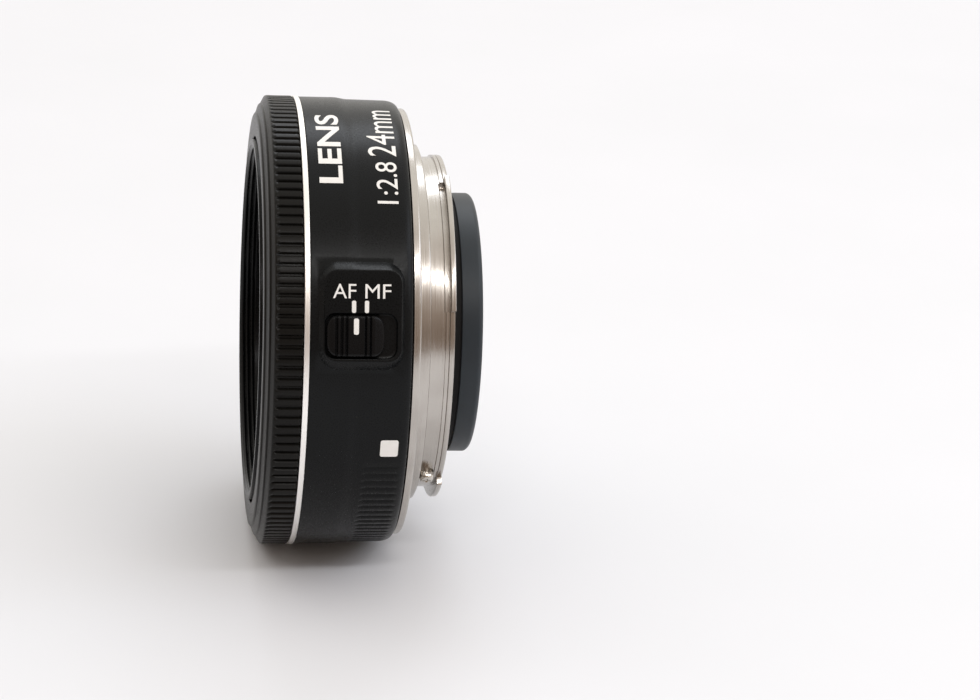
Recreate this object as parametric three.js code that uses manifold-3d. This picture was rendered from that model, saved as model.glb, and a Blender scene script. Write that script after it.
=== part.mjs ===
// A slim 24 mm prime camera lens, as an assembly of separate pieces.
// Millimetres. +Y is the optical axis, from the subject towards the camera, and +Z is up.
// The origin is the centre of the mounting face. Angles are in degrees, from +X towards +Z.

import * as THREE from "three";
import { mergeVertices } from "three/addons/utils/BufferGeometryUtils.js";
import Module from "manifold-3d";

const wasm = await Module();
wasm.setup();

// ---------------------------------------------------------------- driving dimensions
const OUTER_R = 34.1; // half of the largest diameter, 68.2
const FRONT_Y = -22.8; // front lip; the mounting face is y = 0
const RIBS_Y = [-20.8, -17.3]; // ribbed stretch of the focus ring
const TRIM_Y = [-17.05, -16.3];
const BARREL_Y = [-16.2, -1.3];
const FLANGE_R = 32.5;
const FLANGE_THICKNESS = 1.2;
const PILOT_R = 27.15;
const NECK_R = 25.25;
const LUG_R = 26.8;
const LUG_Y = [4.95, 5.7];
const LUG_WIDTH = 51; // degrees
const LUG_CENTRES = [49, 169, 289];
const MOUNT_BORE_R = 23.4;
const REAR_RING_R = 19.8;
const REAR_END_Y = 10.6;
const FILTER_TUBE_R = 27.4;
const FILTER_BORE_R = 26.2; // 52 mm filter thread
const FOCUS_TRAVEL = 6.5; // 24 mm times 0.27 magnification
const CAM_TURN = 70; // degrees of the cam ring for the whole travel
const FOLLOWER_Y = -8.6;
const FOLLOWER_R = 0.9;
const FOLLOWER_ANGLES = [30, 150, 270];
const CAM_RADII = [27.9, 29.1];
const GUIDE_RADII = [29.5, 30.7];
const SWITCH_ANGLE = 21.5; // middle of the switch panel
const PANEL_FACE_R = 34.6; // distance of the flat panel face from the axis
const PANEL = { y: [-15, -2.5], halfWidth: 6.5, slope: 1.2, corner: 1.8 };
const KNOB = { y: [-13.7, -5.6], z: [-5.7, 0], height: 0.5 };
const SWITCH_TRAVEL = 1.8;
const BLADE_COUNT = 7;
const BLADE_PIVOT_R = 9;
const BLADE_PIN_R = 12;
const CONTACT_ANGLE = -69;
const CONTACT_COUNT = 8;
const GEAR_ANGLE = 200; // where the idler gear meets the cam ring
const GEAR_Y = [-4.5, -2.8];
const GEAR_MODULE = 0.5;

// ---------------------------------------------------------------- colours
const BLACK_PLASTIC = { color: 0x1b1b1c, roughness: 0.5, metalness: 0 };
const BLACK_RING = { color: 0x222220, roughness: 0.45, metalness: 0 };
const FLAT_BLACK = { color: 0x0d0d0e, roughness: 0.85, metalness: 0 };
const RUBBER = { color: 0x2c3338, roughness: 0.8, metalness: 0 };
const SILVER = { color: 0xdedad2, roughness: 0.25, metalness: 1 };
const STEEL = { color: 0xb4aca2, roughness: 0.3, metalness: 1 };
const BRASS = { color: 0xc9a24a, roughness: 0.35, metalness: 1 };
const GOLD = { color: 0xe0b04a, roughness: 0.25, metalness: 1 };
const GLASS = { color: 0xc8d8dc, roughness: 0.03, metalness: 0 };
const GREY_PLASTIC = { color: 0x55585c, roughness: 0.6, metalness: 0 };
const BOARD_GREEN = { color: 0x1f5a36, roughness: 0.5, metalness: 0 };
const BLADE_BLACK = { color: 0x141416, roughness: 0.5, metalness: 0.6 };

// ---------------------------------------------------------------- solids
const ROUND = 36; // sides of a large ring
const INNER_ROUND = 24; // sides of a ring inside the lens
const GLASS_ROUND = 18; // sides of a lens element
const rad = THREE.MathUtils.degToRad;

// A point at an angle and a radius round the axis, with its place along the axis.
function polar(angle, r, y = 0) {
  return new THREE.Vector3(r * Math.cos(rad(angle)), y, r * Math.sin(rad(angle)));
}

// The geometry as a manifold solid, turned the right way round.
function solid(geometry) {
  const bare = geometry.clone();
  bare.deleteAttribute("normal");
  bare.deleteAttribute("uv");
  const merged = mergeVertices(bare, 1e-4);
  const triVerts = new Uint32Array(merged.index.array);
  const vertProperties = merged.attributes.position.array;
  const made = new wasm.Manifold(new wasm.Mesh({ numProp: 3, vertProperties, triVerts }));
  if (made.volume() > 0) return made;
  for (let i = 0; i < triVerts.length; i += 3) {
    [triVerts[i + 1], triVerts[i + 2]] = [triVerts[i + 2], triVerts[i + 1]];
  }
  return new wasm.Manifold(new wasm.Mesh({ numProp: 3, vertProperties, triVerts }));
}

function join(base, ...others) {
  return others.reduce((sum, other) => sum.add(other), base);
}

function cut(base, ...tools) {
  return tools.reduce((left, tool) => left.subtract(tool), base);
}

// A ring or disc turned round the axis from a closed outline of [radius, y] points.
function turned(outline, segments = ROUND) {
  const points = outline.map(([r, y]) => new THREE.Vector2(r, y));
  return solid(new THREE.LatheGeometry([...points, points[0].clone()], segments));
}

// A plain ring between two radii and two places along the axis.
function ring([inner, outer], [y0, y1], segments = ROUND) {
  return turned([[inner, y0], [outer, y0], [outer, y1], [inner, y1]], segments);
}

// A flat shape drawn in x and z, as thick as y0 to y1.
function plate(shape, [y0, y1], curveSegments = 8) {
  const depth = y1 - y0;
  const g = new THREE.ExtrudeGeometry(shape, { depth, bevelEnabled: false, curveSegments });
  return solid(g.applyMatrix4(new THREE.Matrix4().set(1, 0, 0, 0, 0, 0, 1, y0, 0, 1, 0, 0, 0, 0, 0, 1)));
}

// An arc-shaped outline between two radii and two angles.
function sector([inner, outer], [a0, a1]) {
  const shape = new THREE.Shape();
  shape.absarc(0, 0, outer, rad(a0), rad(a1), false);
  shape.absarc(0, 0, inner, rad(a1), rad(a0), true);
  return shape;
}

function arcBlock(radii, angles, ys, curveSegments = 8) {
  return plate(sector(radii, angles), ys, curveSegments);
}

// A round bar along the axis direction, centred at a point in x and z.
function bar(centre, r, [y0, y1], sides = 12) {
  const g = new THREE.CylinderGeometry(r, r, y1 - y0, sides);
  return solid(g.translate(centre.x, (y0 + y1) / 2, centre.z));
}

// A round pin that points outwards from the axis, between two radii.
function radialPin(angle, y, r, [inner, outer], sides = 12) {
  const g = new THREE.CylinderGeometry(r, r, outer - inner, sides);
  g.rotateZ(-Math.PI / 2).translate((inner + outer) / 2, y, 0).rotateY(-rad(angle));
  return solid(g);
}

// A shape drawn as [degrees, y], wrapped round the axis between two radii.
function wrapped(shape, [inner, outer]) {
  const depth = outer - inner;
  const g = new THREE.ExtrudeGeometry(shape, { depth, bevelEnabled: false, curveSegments: 1 });
  const p = g.attributes.position;
  for (let i = 0; i < p.count; i++) {
    const at = polar(p.getX(i), inner + p.getZ(i), p.getY(i));
    p.setXYZ(i, at.x, at.y, at.z);
  }
  return solid(g);
}

// A box given by its ranges, in the panel's own frame: x outwards, y along the axis, z up round it.
function panelBox([x0, x1], [y0, y1], [z0, z1]) {
  const g = new THREE.BoxGeometry(x1 - x0, y1 - y0, z1 - z0);
  g.translate((x0 + x1) / 2, (y0 + y1) / 2, (z0 + z1) / 2).rotateY(-rad(SWITCH_ANGLE));
  return solid(g);
}

// A rectangle with rounded corners, drawn round the middle of its two ranges.
function roundedRect([x0, x1], [y0, y1], r) {
  const shape = new THREE.Shape();
  shape.absarc(x1 - r, y1 - r, r, 0, Math.PI / 2, false);
  shape.absarc(x0 + r, y1 - r, r, Math.PI / 2, Math.PI, false);
  shape.absarc(x0 + r, y0 + r, r, Math.PI, 1.5 * Math.PI, false);
  shape.absarc(x1 - r, y0 + r, r, 1.5 * Math.PI, 2 * Math.PI, false);
  return shape;
}

// A rounded rectangle in the panel's y and z, pushed out between two distances from the axis.
function panelBlock([x0, x1], ys, zs, corner, bevel = 0) {
  const g = new THREE.ExtrudeGeometry(roundedRect(ys, zs, corner), {
    depth: x1 - x0,
    bevelEnabled: bevel > 0,
    bevelThickness: bevel,
    bevelSize: bevel,
    bevelOffset: -bevel,
    bevelSegments: 1,
    curveSegments: 2,
  });
  g.applyMatrix4(new THREE.Matrix4().set(0, 0, 1, x0, 1, 0, 0, 0, 0, 1, 0, 0, 0, 0, 0, 1));
  return solid(g.rotateY(-rad(SWITCH_ANGLE)));
}

// The outline of gear teeth between two angles; outward teeth, or inward ones with sign -1.
function toothPath(count, module, middle, sign = 1, span = count) {
  const pitch = 360 / count;
  const r = (count * module) / 2;
  const root = r - sign * 1.15 * module;
  const tip = r + sign * 0.8 * module;
  const profile = [[-0.22, root], [-0.08, tip], [0.08, tip], [0.22, root]];
  const path = [];
  for (let i = 0; i < span; i++) {
    for (const [offset, radius] of profile) {
      const a = rad(middle + (i + offset) * pitch);
      path.push(new THREE.Vector2(radius * Math.cos(a), radius * Math.sin(a)));
    }
  }
  return path;
}

// ---------------------------------------------------------------- the scene graph
const lens = new THREE.Group();

function piece(name, shape, finish, parent = lens) {
  const { vertProperties, triVerts } = shape.getMesh();
  const g = new THREE.BufferGeometry();
  g.setAttribute("position", new THREE.BufferAttribute(new Float32Array(vertProperties), 3));
  g.setIndex(new THREE.BufferAttribute(new Uint32Array(triVerts), 1));
  g.computeVertexNormals();
  const mesh = new THREE.Mesh(g, new THREE.MeshStandardMaterial(finish));
  mesh.name = name;
  parent.add(mesh);
}

function body() {
  const group = new THREE.Group();
  lens.add(group);
  return group;
}

// ---------------------------------------------------------------- outer shell
const SKIRT_R = 32.4; // outer radius of the focus ring where it runs inside the barrel
const RING_BORE_R = 31.5;
const BARREL_BORE_R = 32.75;
const SCREW_CIRCLE_R = 29.8;
const SCREW_ANGLES = [10, 100, 190, 280];

// The ring's outer form, over the tops of its ribs.
function focusRing() {
  return turned([
    [27.9, -22.6], [31.6, FRONT_Y], [33.3, -21.9], [OUTER_R, RIBS_Y[0]],
    [OUTER_R, RIBS_Y[1]], [SKIRT_R, RIBS_Y[1]], [SKIRT_R, -14.6],
    [RING_BORE_R, -14.6], [RING_BORE_R, -21.4], [27.9, -21.4],
  ]);
}

function mainBarrel() {
  const rearWallR = 27;
  const shell = turned([
    [BARREL_BORE_R, BARREL_Y[0]], [OUTER_R - 0.05, BARREL_Y[0]], [OUTER_R - 0.05, -12],
    [33.8, -9.3], [33.7, -2.9], [33.45, -1.9], [32.9, BARREL_Y[1]],
    [rearWallR, BARREL_Y[1]], [rearWallR, -2.5], [BARREL_BORE_R, -2.5],
  ]);
  const { y, halfWidth, slope, corner } = PANEL;
  const foot = halfWidth + slope;
  const boss = panelBlock([33, PANEL_FACE_R - slope], y, [-foot, foot], corner, slope);
  const recess = [KNOB.y[0] - 0.4, KNOB.y[1] + SWITCH_TRAVEL + 0.4];
  const pocket = panelBlock([33.75, 36], recess, [KNOB.z[0] - 0.3, KNOB.z[1] + 0.3], 1.5);
  const inside = turned([[20, -15.9], [BARREL_BORE_R, -15.9], [BARREL_BORE_R, -2.5], [20, -2.5]]);
  const slot = panelBox([30, 36], [-11.9, -7.2], [KNOB.z[0] + 2, KNOB.z[1] - 2]);
  const holes = SCREW_ANGLES.map((a) => bar(polar(a, SCREW_CIRCLE_R), 1, [-4, 0], 8));
  return cut(join(shell, boss), inside, pocket, slot, ...holes);
}

function switchKnob() {
  const [z0, z1] = KNOB.z;
  const body = panelBlock([34, PANEL_FACE_R + KNOB.height], KNOB.y, KNOB.z, 1.3);
  const stem = panelBox([31.9, 34.2], [-11.7, -9.2], [z0 + 2.2, z1 - 2.2]);
  const grooves = [-12.9, -11.9, -10.9, -8.3, -7.4].map((y) =>
    panelBox([PANEL_FACE_R + 0.1, 36], [y - 0.2, y + 0.2], [z0 + 0.5, z1 - 0.5]),
  );
  return cut(join(body, stem), ...grooves);
}

function bayonetMount() {
  const tube = turned([
    [MOUNT_BORE_R, -FLANGE_THICKNESS], [FLANGE_R, -FLANGE_THICKNESS], [FLANGE_R, 0],
    [PILOT_R, 0], [PILOT_R, 2], [NECK_R, 2], [NECK_R, 4.3],
    [NECK_R + 0.3, 4.3], [NECK_R + 0.3, LUG_Y[1]], [MOUNT_BORE_R, LUG_Y[1]],
  ]);
  const half = LUG_WIDTH / 2;
  const lugs = LUG_CENTRES.map((c) => arcBlock([24.4, LUG_R], [c - half, c + half], LUG_Y));
  const undercuts = LUG_CENTRES.map((c) =>
    arcBlock([24.7, 27], [c - half, c + half], [4.25, LUG_Y[0]]),
  );
  const holes = SCREW_ANGLES.flatMap((a) => [
    bar(polar(a, SCREW_CIRCLE_R), 1, [-3, 1], 8),
    bar(polar(a, SCREW_CIRCLE_R), 1.75, [-0.75, 1], 10),
  ]);
  const lockSlot = bar(polar(215, 29.9), 1.1, [-0.8, 1], 12);
  const stopHole = radialPin(-42, 3.2, 0.7, [20, 30], 8);
  return join(cut(tube, ...undercuts, ...holes, lockSlot, stopHole), ...lugs);
}

function mountScrew(angle) {
  const centre = polar(angle, SCREW_CIRCLE_R);
  const head = bar(centre, 1.5, [-0.7, -0.1], 10);
  const shank = bar(centre, 0.75, [-3.4, -0.6], 6);
  const turn = -rad(angle);
  const slots = [0, Math.PI / 2].map((quarter) =>
    solid(
      new THREE.BoxGeometry(1.5, 0.6, 0.35)
        .rotateY(turn + quarter)
        .translate(centre.x, -0.15, centre.z),
    ),
  );
  return cut(join(head, shank), ...slots);
}

const CONTACT_HALF = 21;

function rearBarrel() {
  const tube = turned([
    [17.8, -1], [19.4, -1], [19.4, 0.9], [23.1, 0.9], [23.1, 1.6], [19.4, 1.6],
    [19.4, 7.95], [17.8, 7.95],
  ]);
  const reach = CONTACT_HALF + 1;
  return cut(tube, arcBlock([19.9, 24], [CONTACT_ANGLE - reach, CONTACT_ANGLE + reach], [0, 3]));
}

function contactBlock() {
  const span = [CONTACT_ANGLE - CONTACT_HALF, CONTACT_ANGLE + CONTACT_HALF];
  const block = arcBlock([20.2, 23], span, [-0.4, 5.3]);
  const holes = contactAngles().map((a) => bar(polar(a, 21.7), 0.75, [-1, 6], 8));
  return cut(block, ...holes);
}

function contactAngles() {
  const pitch = 4.6;
  return Array.from({ length: CONTACT_COUNT }, (_, i) => CONTACT_ANGLE + (i - 3.5) * pitch);
}

piece("main_barrel", mainBarrel(), BLACK_PLASTIC);
piece("trim_ring", ring([BARREL_BORE_R, OUTER_R], TRIM_Y), SILVER);
piece("bayonet_mount", bayonetMount(), STEEL);
SCREW_ANGLES.forEach((a, i) => piece(`mount_screw_${i + 1}`, mountScrew(a), STEEL));
piece("stop_screw", join(
  radialPin(-42, 3.2, 1.05, [NECK_R + 0.15, 27], 12),
  radialPin(-42, 3.2, 0.6, [24, NECK_R + 0.3], 8),
), STEEL);
piece("rear_barrel", rearBarrel(), FLAT_BLACK);
piece("rear_rubber_ring", turned([
  [16.4, 8.05], [REAR_RING_R, 8.05], [REAR_RING_R, 10.1], [19.4, REAR_END_Y],
  [16.9, REAR_END_Y], [16.4, 10.1],
]), RUBBER);
piece("contact_block", contactBlock(), FLAT_BLACK);
contactAngles().forEach((a, i) =>
  piece(`contact_pin_${i + 1}`, bar(polar(a, 21.7), 0.6, [0.2, 5.45], 10), GOLD),
);

piece("rear_baffle", cut(
  bar(polar(0, 0), 17.5, [5.6, 6.2], INNER_ROUND),
  plate(roundedRect([-9.5, 9.5], [-6.5, 6.5], 1.5), [5, 7], 2),
), FLAT_BLACK);

const focusRingBody = body();
piece("focus_ring", focusRing(), BLACK_RING, focusRingBody);
piece("focus_scale_ring", ring([31.6, 32.35], [-14.5, -13.6]), SILVER, focusRingBody);

const switchBody = body();
piece("switch_knob", switchKnob(), BLACK_PLASTIC, switchBody);
piece("switch_wiper", panelBox([31.5, 31.8], [-12.2, -8.7], [-3.9, -1.8]), BRASS, switchBody);
piece("switch_board", panelBox([30.95, 31.2], [-13.4, -5.6], [-4.9, -0.8]), BOARD_GREEN);

// ---------------------------------------------------------------- focusing drive
const toothStep = 360 / 110; // the inside gear has the pitch of a 110-tooth wheel

function guideBarrel() {
  const tube = turned([
    [GUIDE_RADII[0], -20.6], [31.1, -20.6], [31.1, -19.8], [GUIDE_RADII[1], -19.8],
    [GUIDE_RADII[1], -3.6], [32.3, -3.6], [32.3, -2.7], [GUIDE_RADII[0], -2.7],
  ]);
  const width = (2 * (FOLLOWER_R + 0.2) * 180) / (Math.PI * GUIDE_RADII[0]);
  const slots = FOLLOWER_ANGLES.map((a) =>
    wrapped(
      roundedRect(
        [a - width / 2, a + width / 2],
        [FOLLOWER_Y - FOCUS_TRAVEL - FOLLOWER_R - 0.3, FOLLOWER_Y + FOLLOWER_R + 0.3],
        0.6,
      ),
      [GUIDE_RADII[0] - 1, GUIDE_RADII[1] + 1],
    ),
  );
  const holes = SCREW_ANGLES.map((a) => bar(polar(a, SCREW_CIRCLE_R), 1, [-4.4, 0], 8));
  return cut(tube, ...slots, ...holes);
}

// The sloping slot, in short straight stretches: a band round the line that the follower takes.
function camSlot(angle) {
  const steps = 8;
  const half = FOLLOWER_R + 0.35;
  const at = (t) => [angle - CAM_TURN * t, FOLLOWER_Y - FOCUS_TRAVEL * t];
  const stretches = [];
  for (let i = 0; i < steps; i++) {
    const [a0, y0] = at(-0.035 + (1.07 * i) / steps);
    const [a1, y1] = at(-0.035 + (1.07 * (i + 1)) / steps);
    const corners = [[a0, y0 - half], [a0, y0 + half], [a1, y1 + half], [a1, y1 - half]];
    const shape = new THREE.Shape(corners.map(([a, y]) => new THREE.Vector2(a, y)));
    stretches.push(wrapped(shape, [CAM_RADII[0] - 1, CAM_RADII[1] + 1]));
  }
  return join(...stretches);
}

function camRing() {
  const [bore, outside] = CAM_RADII;
  const tube = turned([
    [bore, -19.6], [outside, -19.6], [outside, GEAR_Y[1]], [bore + 0.45, GEAR_Y[1]],
    [bore + 0.45, GEAR_Y[0] - 0.3], [bore, GEAR_Y[0] - 0.3],
  ]);
  const count = 25;
  const first = GEAR_ANGLE - CAM_TURN - 6;
  const start = GEAR_ANGLE - Math.ceil((GEAR_ANGLE - first) / toothStep) * toothStep;
  const teeth = toothPath(110, GEAR_MODULE, start + toothStep / 2, -1, count);
  const shape = new THREE.Shape(teeth);
  shape.absarc(0, 0, 28.6, rad(start + (count + 0.5) * toothStep), rad(start - 0.5 * toothStep), true);
  return join(cut(tube, ...FOLLOWER_ANGLES.map(camSlot)), plate(shape, GEAR_Y, 12));
}

const idlerAt = polar(GEAR_ANGLE, 22.5);
const motorAngle = GEAR_ANGLE + 17.86;
const motorAt = polar(motorAngle, 22.6);

function gear(teeth, module, at, middle, ys, bore) {
  const shape = new THREE.Shape(toothPath(teeth, module, middle));
  if (bore) shape.holes.push(new THREE.Path().absarc(0, 0, bore, 0, 2 * Math.PI));
  return plate(shape, ys, 5).translate([at.x, 0, at.z]);
}

function motorBracket() {
  const base = arcBlock([17.9, 26.9], [GEAR_ANGLE - 13, motorAngle + 9], [-5.4, -4.8]);
  const axle = bar(idlerAt, 0.6, [-5, -2.6], 8);
  return join(cut(base, bar(motorAt, 0.9, [-6, 0], 8)), axle);
}

function pinionMiddle() {
  const toMotor = THREE.MathUtils.radToDeg(Math.atan2(motorAt.z - idlerAt.z, motorAt.x - idlerAt.x));
  const idlerStep = 360 / 20;
  const offset = (toMotor - GEAR_ANGLE) / idlerStep;
  const pinionStep = 360 / 8;
  return toMotor + 180 + (0.5 + offset - Math.floor(offset)) * pinionStep;
}

piece("guide_barrel", guideBarrel(), GREY_PLASTIC);
piece("focus_motor", bar(motorAt, 3.2, [-12, -5.7], 16), STEEL);
piece("motor_bracket", motorBracket(), STEEL);
piece("main_circuit_board", arcBlock([19.8, 26.6], [-60, 160], [-3.2, -2.4], 20), BOARD_GREEN);

piece("cam_ring", camRing(), GREY_PLASTIC, body());
piece("idler_gear", gear(20, GEAR_MODULE, idlerAt, GEAR_ANGLE, GEAR_Y, 0.75), BRASS, body());
piece("motor_pinion", join(
  gear(8, GEAR_MODULE, motorAt, pinionMiddle(), GEAR_Y),
  bar(motorAt, 0.5, [-5.6, -4.4], 8),
), BRASS, body());

// ---------------------------------------------------------------- the group that moves to focus
const focusGroup = body();

function focusBarrel() {
  const webInnerR = 12;
  const tube = turned([
    [FILTER_BORE_R, FRONT_Y - 0.1], [FILTER_TUBE_R, FRONT_Y - 0.1], [FILTER_TUBE_R, -6],
    [FILTER_BORE_R, -6], [FILTER_BORE_R, -12.7], [webInnerR, -12.7], [webInnerR, -13.5],
    [FILTER_BORE_R, -13.5],
  ]);
  return cut(tube, ...FOLLOWER_ANGLES.map((a) => radialPin(a, FOLLOWER_Y, 0.65, [24, 29], 8)));
}

function camFollower(angle) {
  const head = radialPin(angle, FOLLOWER_Y, FOLLOWER_R, [27.6, 30.5], 12);
  return join(head, radialPin(angle, FOLLOWER_Y, 0.5, [26.4, 27.7], 8));
}

// Height of a spherical surface at a radius: positive curvature bulges towards the subject.
function sag(r, curvature) {
  return Math.sign(curvature) * (Math.abs(curvature) - Math.sqrt(curvature * curvature - r * r));
}

// A lens element from its rim radius and, for each face, the vertex place and the radius.
function element(rim, [frontY, frontR], [rearY, rearR]) {
  const steps = 3;
  const outline = [];
  for (let i = 0; i <= steps; i++) {
    const r = (rim * i) / steps;
    outline.push(new THREE.Vector2(r, frontY + sag(r, frontR)));
  }
  for (let i = steps; i >= 0; i--) {
    const r = (rim * i) / steps;
    outline.push(new THREE.Vector2(r, rearY + sag(r, rearR)));
  }
  return solid(new THREE.LatheGeometry(outline, GLASS_ROUND));
}

piece("focus_barrel", focusBarrel(), BLACK_PLASTIC, focusGroup);
FOLLOWER_ANGLES.forEach((a, i) =>
  piece(`cam_follower_${i + 1}`, camFollower(a), BRASS, focusGroup),
);
piece("name_ring", ring([17.6, 25.8], [-19.9, -19.1]), FLAT_BLACK, focusGroup);
piece("front_baffle", turned([
  [17.3, -19.9], [17.3, -19.1], [8.6, -17.2], [8.2, -17.2], [8.2, -17.6],
], INNER_ROUND), FLAT_BLACK, focusGroup);
piece("front_cell", turned([
  [7.7, -17], [11.7, -17], [11.7, -12.7], [5.95, -12.7], [5.95, -14], [7.7, -14],
], INNER_ROUND), FLAT_BLACK, focusGroup);
piece("front_retaining_ring", ring([6.8, 7.6], [-16.9, -16.45], GLASS_ROUND), FLAT_BLACK, focusGroup);
piece("lens_1", element(7.4, [-16.9, 40], [-16, 16]), GLASS, focusGroup);
piece("lens_2", element(5.6, [-14.9, 20], [-13.1, -30]), GLASS, focusGroup);
piece("lens_3", element(5.4, [-7.9, -16], [-7, 14]), GLASS, focusGroup);
piece("lens_4", element(5.4, [-6.94, 14], [-3.4, -11]), GLASS, focusGroup);
piece("lens_5", element(7, [-2.9, -30], [-0.6, -12]), GLASS, focusGroup);
piece("lens_6", element(9, [0.6, -14], [1.6, -40]), GLASS, focusGroup);
piece("rear_cell", turned([
  [5.7, -9.1], [12.8, -9.1], [12.8, -8.3], [11, -8.3], [11, 1.6], [9.3, 1.6],
  [9.3, -2.75], [7.3, -2.75], [7.3, -4], [5.7, -4],
], INNER_ROUND), FLAT_BLACK, focusGroup);
piece("rear_retaining_ring", ring([8.4, 9.2], [1, 1.5], GLASS_ROUND), FLAT_BLACK, focusGroup);

// ---------------------------------------------------------------- iris
const BLADE_LAYER = { first: -11.68, step: 0.18, thickness: 0.12 };
const DRIVE_RING_Y = [-10.35, -9.85];
const DRIVE_TEETH = 72;
const DRIVE_MODULE = 0.4;
const PINION_AT = polar(90, 16);

function bladeAngle(i) {
  return 20 + (i * 360) / BLADE_COUNT;
}

function aperturePlate() {
  const dish = turned([
    [4.4, -12.4], [18.9, -12.4], [18.9, -9.3], [18.3, -9.3], [18.3, -11.8], [4.4, -11.8],
  ], INNER_ROUND);
  const holes = Array.from({ length: BLADE_COUNT }, (_, i) =>
    bar(polar(bladeAngle(i), BLADE_PIVOT_R), 0.5, [-13, -11], 8),
  );
  return cut(dish, ...holes);
}

// A thin crescent on a short arm, with a pivot pin to the base and a drive pin to the ring.
function apertureBlade(i) {
  const y0 = BLADE_LAYER.first + i * BLADE_LAYER.step;
  const layer = [y0, y0 + BLADE_LAYER.thickness];
  const a = bladeAngle(i);
  const crescent = arcBlock([4.6, 8.2], [a - 5, a + 108], layer, 7);
  const arm = solid(
    new THREE.BoxGeometry(6, BLADE_LAYER.thickness, 1.5)
      .translate(9.8, y0 + BLADE_LAYER.thickness / 2, 0)
      .rotateY(-rad(a)),
  );
  const pivot = bar(polar(a, BLADE_PIVOT_R), 0.35, [-12.3, layer[1]], 6);
  const drive = bar(polar(a, BLADE_PIN_R), 0.3, [layer[0], -9.95], 6);
  return join(crescent, arm, pivot, drive);
}

function driveRing() {
  const count = 5;
  const step = 360 / DRIVE_TEETH;
  const start = 90 - 3 * step;
  const teeth = toothPath(DRIVE_TEETH, DRIVE_MODULE, start, 1, count);
  const shape = new THREE.Shape(teeth);
  shape.absarc(0, 0, 13.2, rad(start + (count - 0.5) * step), rad(start - 0.5 * step), true);
  const slots = Array.from({ length: BLADE_COUNT }, (_, i) =>
    solid(
      new THREE.BoxGeometry(1.5, 2, 0.9)
        .translate(BLADE_PIN_R - 0.15, -10, 0)
        .rotateY(-rad(bladeAngle(i))),
    ),
  );
  return cut(join(ring([10.6, 13.6], DRIVE_RING_Y, INNER_ROUND), plate(shape, DRIVE_RING_Y)), ...slots);
}

function apertureCover() {
  return cut(ring([5.2, 18], [-9.75, -9.35], INNER_ROUND), bar(PINION_AT, 0.8, [-11, -8], 8));
}

piece("aperture_base", aperturePlate(), FLAT_BLACK, focusGroup);
piece("aperture_cover", apertureCover(), FLAT_BLACK, focusGroup);
piece("aperture_motor", bar(PINION_AT, 2.8, [-9, -5.2], 14), STEEL, focusGroup);
const iris = new THREE.Group();
focusGroup.add(iris);
for (let i = 0; i < BLADE_COUNT; i++) {
  piece(`aperture_blade_${i + 1}`, apertureBlade(i), BLADE_BLACK, iris);
}
piece("aperture_drive_ring", driveRing(), BLACK_PLASTIC, iris);
piece("aperture_pinion", join(
  gear(8, DRIVE_MODULE, PINION_AT, 270 + 22.5, DRIVE_RING_Y),
  bar(PINION_AT, 0.4, [-9.9, -9.15], 8),
), BRASS, iris);

export default lens;
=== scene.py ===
# %% [markdown]
# # A slim prime lens for a single-lens reflex camera
# The lens is a short black drum, 68 mm across, standing on its edge. Its optical axis is Y:
# the front element looks along -Y, and the steel bayonet at the back (+Y) fits the camera.
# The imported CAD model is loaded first. It fixes every size, place and moving body. All that
# can be seen is then rebuilt as smooth, finely detailed surfaces on the same dimensions, and
# the sealed inner parts keep their CAD shapes and get real finishes.

import bmesh
import bpy
import numpy as np
from mathutils import Matrix, Vector


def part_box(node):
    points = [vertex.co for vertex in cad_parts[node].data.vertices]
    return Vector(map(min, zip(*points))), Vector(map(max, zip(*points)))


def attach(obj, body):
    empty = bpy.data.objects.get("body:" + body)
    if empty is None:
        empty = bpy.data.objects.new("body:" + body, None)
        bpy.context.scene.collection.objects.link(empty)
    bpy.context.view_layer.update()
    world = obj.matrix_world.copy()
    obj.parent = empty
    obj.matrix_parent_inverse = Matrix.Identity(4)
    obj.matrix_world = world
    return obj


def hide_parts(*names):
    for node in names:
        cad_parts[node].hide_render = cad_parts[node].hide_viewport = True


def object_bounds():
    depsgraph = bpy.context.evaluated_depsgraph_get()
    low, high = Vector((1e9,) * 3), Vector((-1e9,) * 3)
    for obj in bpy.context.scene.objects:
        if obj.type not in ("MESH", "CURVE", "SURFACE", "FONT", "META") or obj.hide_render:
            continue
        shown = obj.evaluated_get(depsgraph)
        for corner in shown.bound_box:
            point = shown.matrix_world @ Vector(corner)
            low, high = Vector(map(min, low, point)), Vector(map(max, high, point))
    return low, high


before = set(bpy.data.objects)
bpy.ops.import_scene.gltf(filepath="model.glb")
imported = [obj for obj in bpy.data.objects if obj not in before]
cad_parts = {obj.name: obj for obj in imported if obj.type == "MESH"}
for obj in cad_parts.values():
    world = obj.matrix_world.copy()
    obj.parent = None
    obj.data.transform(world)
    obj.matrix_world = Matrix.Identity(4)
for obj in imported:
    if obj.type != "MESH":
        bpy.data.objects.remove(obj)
cad_low, cad_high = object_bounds()
MM = 0.001


# %% [markdown]
# ## Reading sizes from the frame
# A lathe-turned part is known by its radius and its two ends. Both can be typed in again, but
# then they drift away from the model. They are read from each node's box instead: the highest
# z of a ring round the Y axis is its radius, and its lowest and highest y are its ends.

# %% Sizes
def radius_of(node):
    """Outer radius in millimetres of a node that is turned round the Y axis."""
    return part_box(node)[1].z / MM


def ends_of(node):
    """The two places along the axis, in millimetres, where a node starts and ends."""
    low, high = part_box(node)
    return low.y / MM, high.y / MM


RING_R = radius_of("focus_ring")
RING_FRONT, RING_BACK = ends_of("focus_ring")
BARREL_R = radius_of("main_barrel")
BARREL_FRONT, BARREL_BACK = ends_of("main_barrel")
FLANGE_R = radius_of("bayonet_mount")
FLANGE_FRONT, LUG_BACK = ends_of("bayonet_mount")
TUBE_FRONT, TUBE_BACK = ends_of("focus_barrel")
print(f"ring R {RING_R:.2f}, barrel R {BARREL_R:.2f}, flange R {FLANGE_R:.2f} mm")


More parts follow.
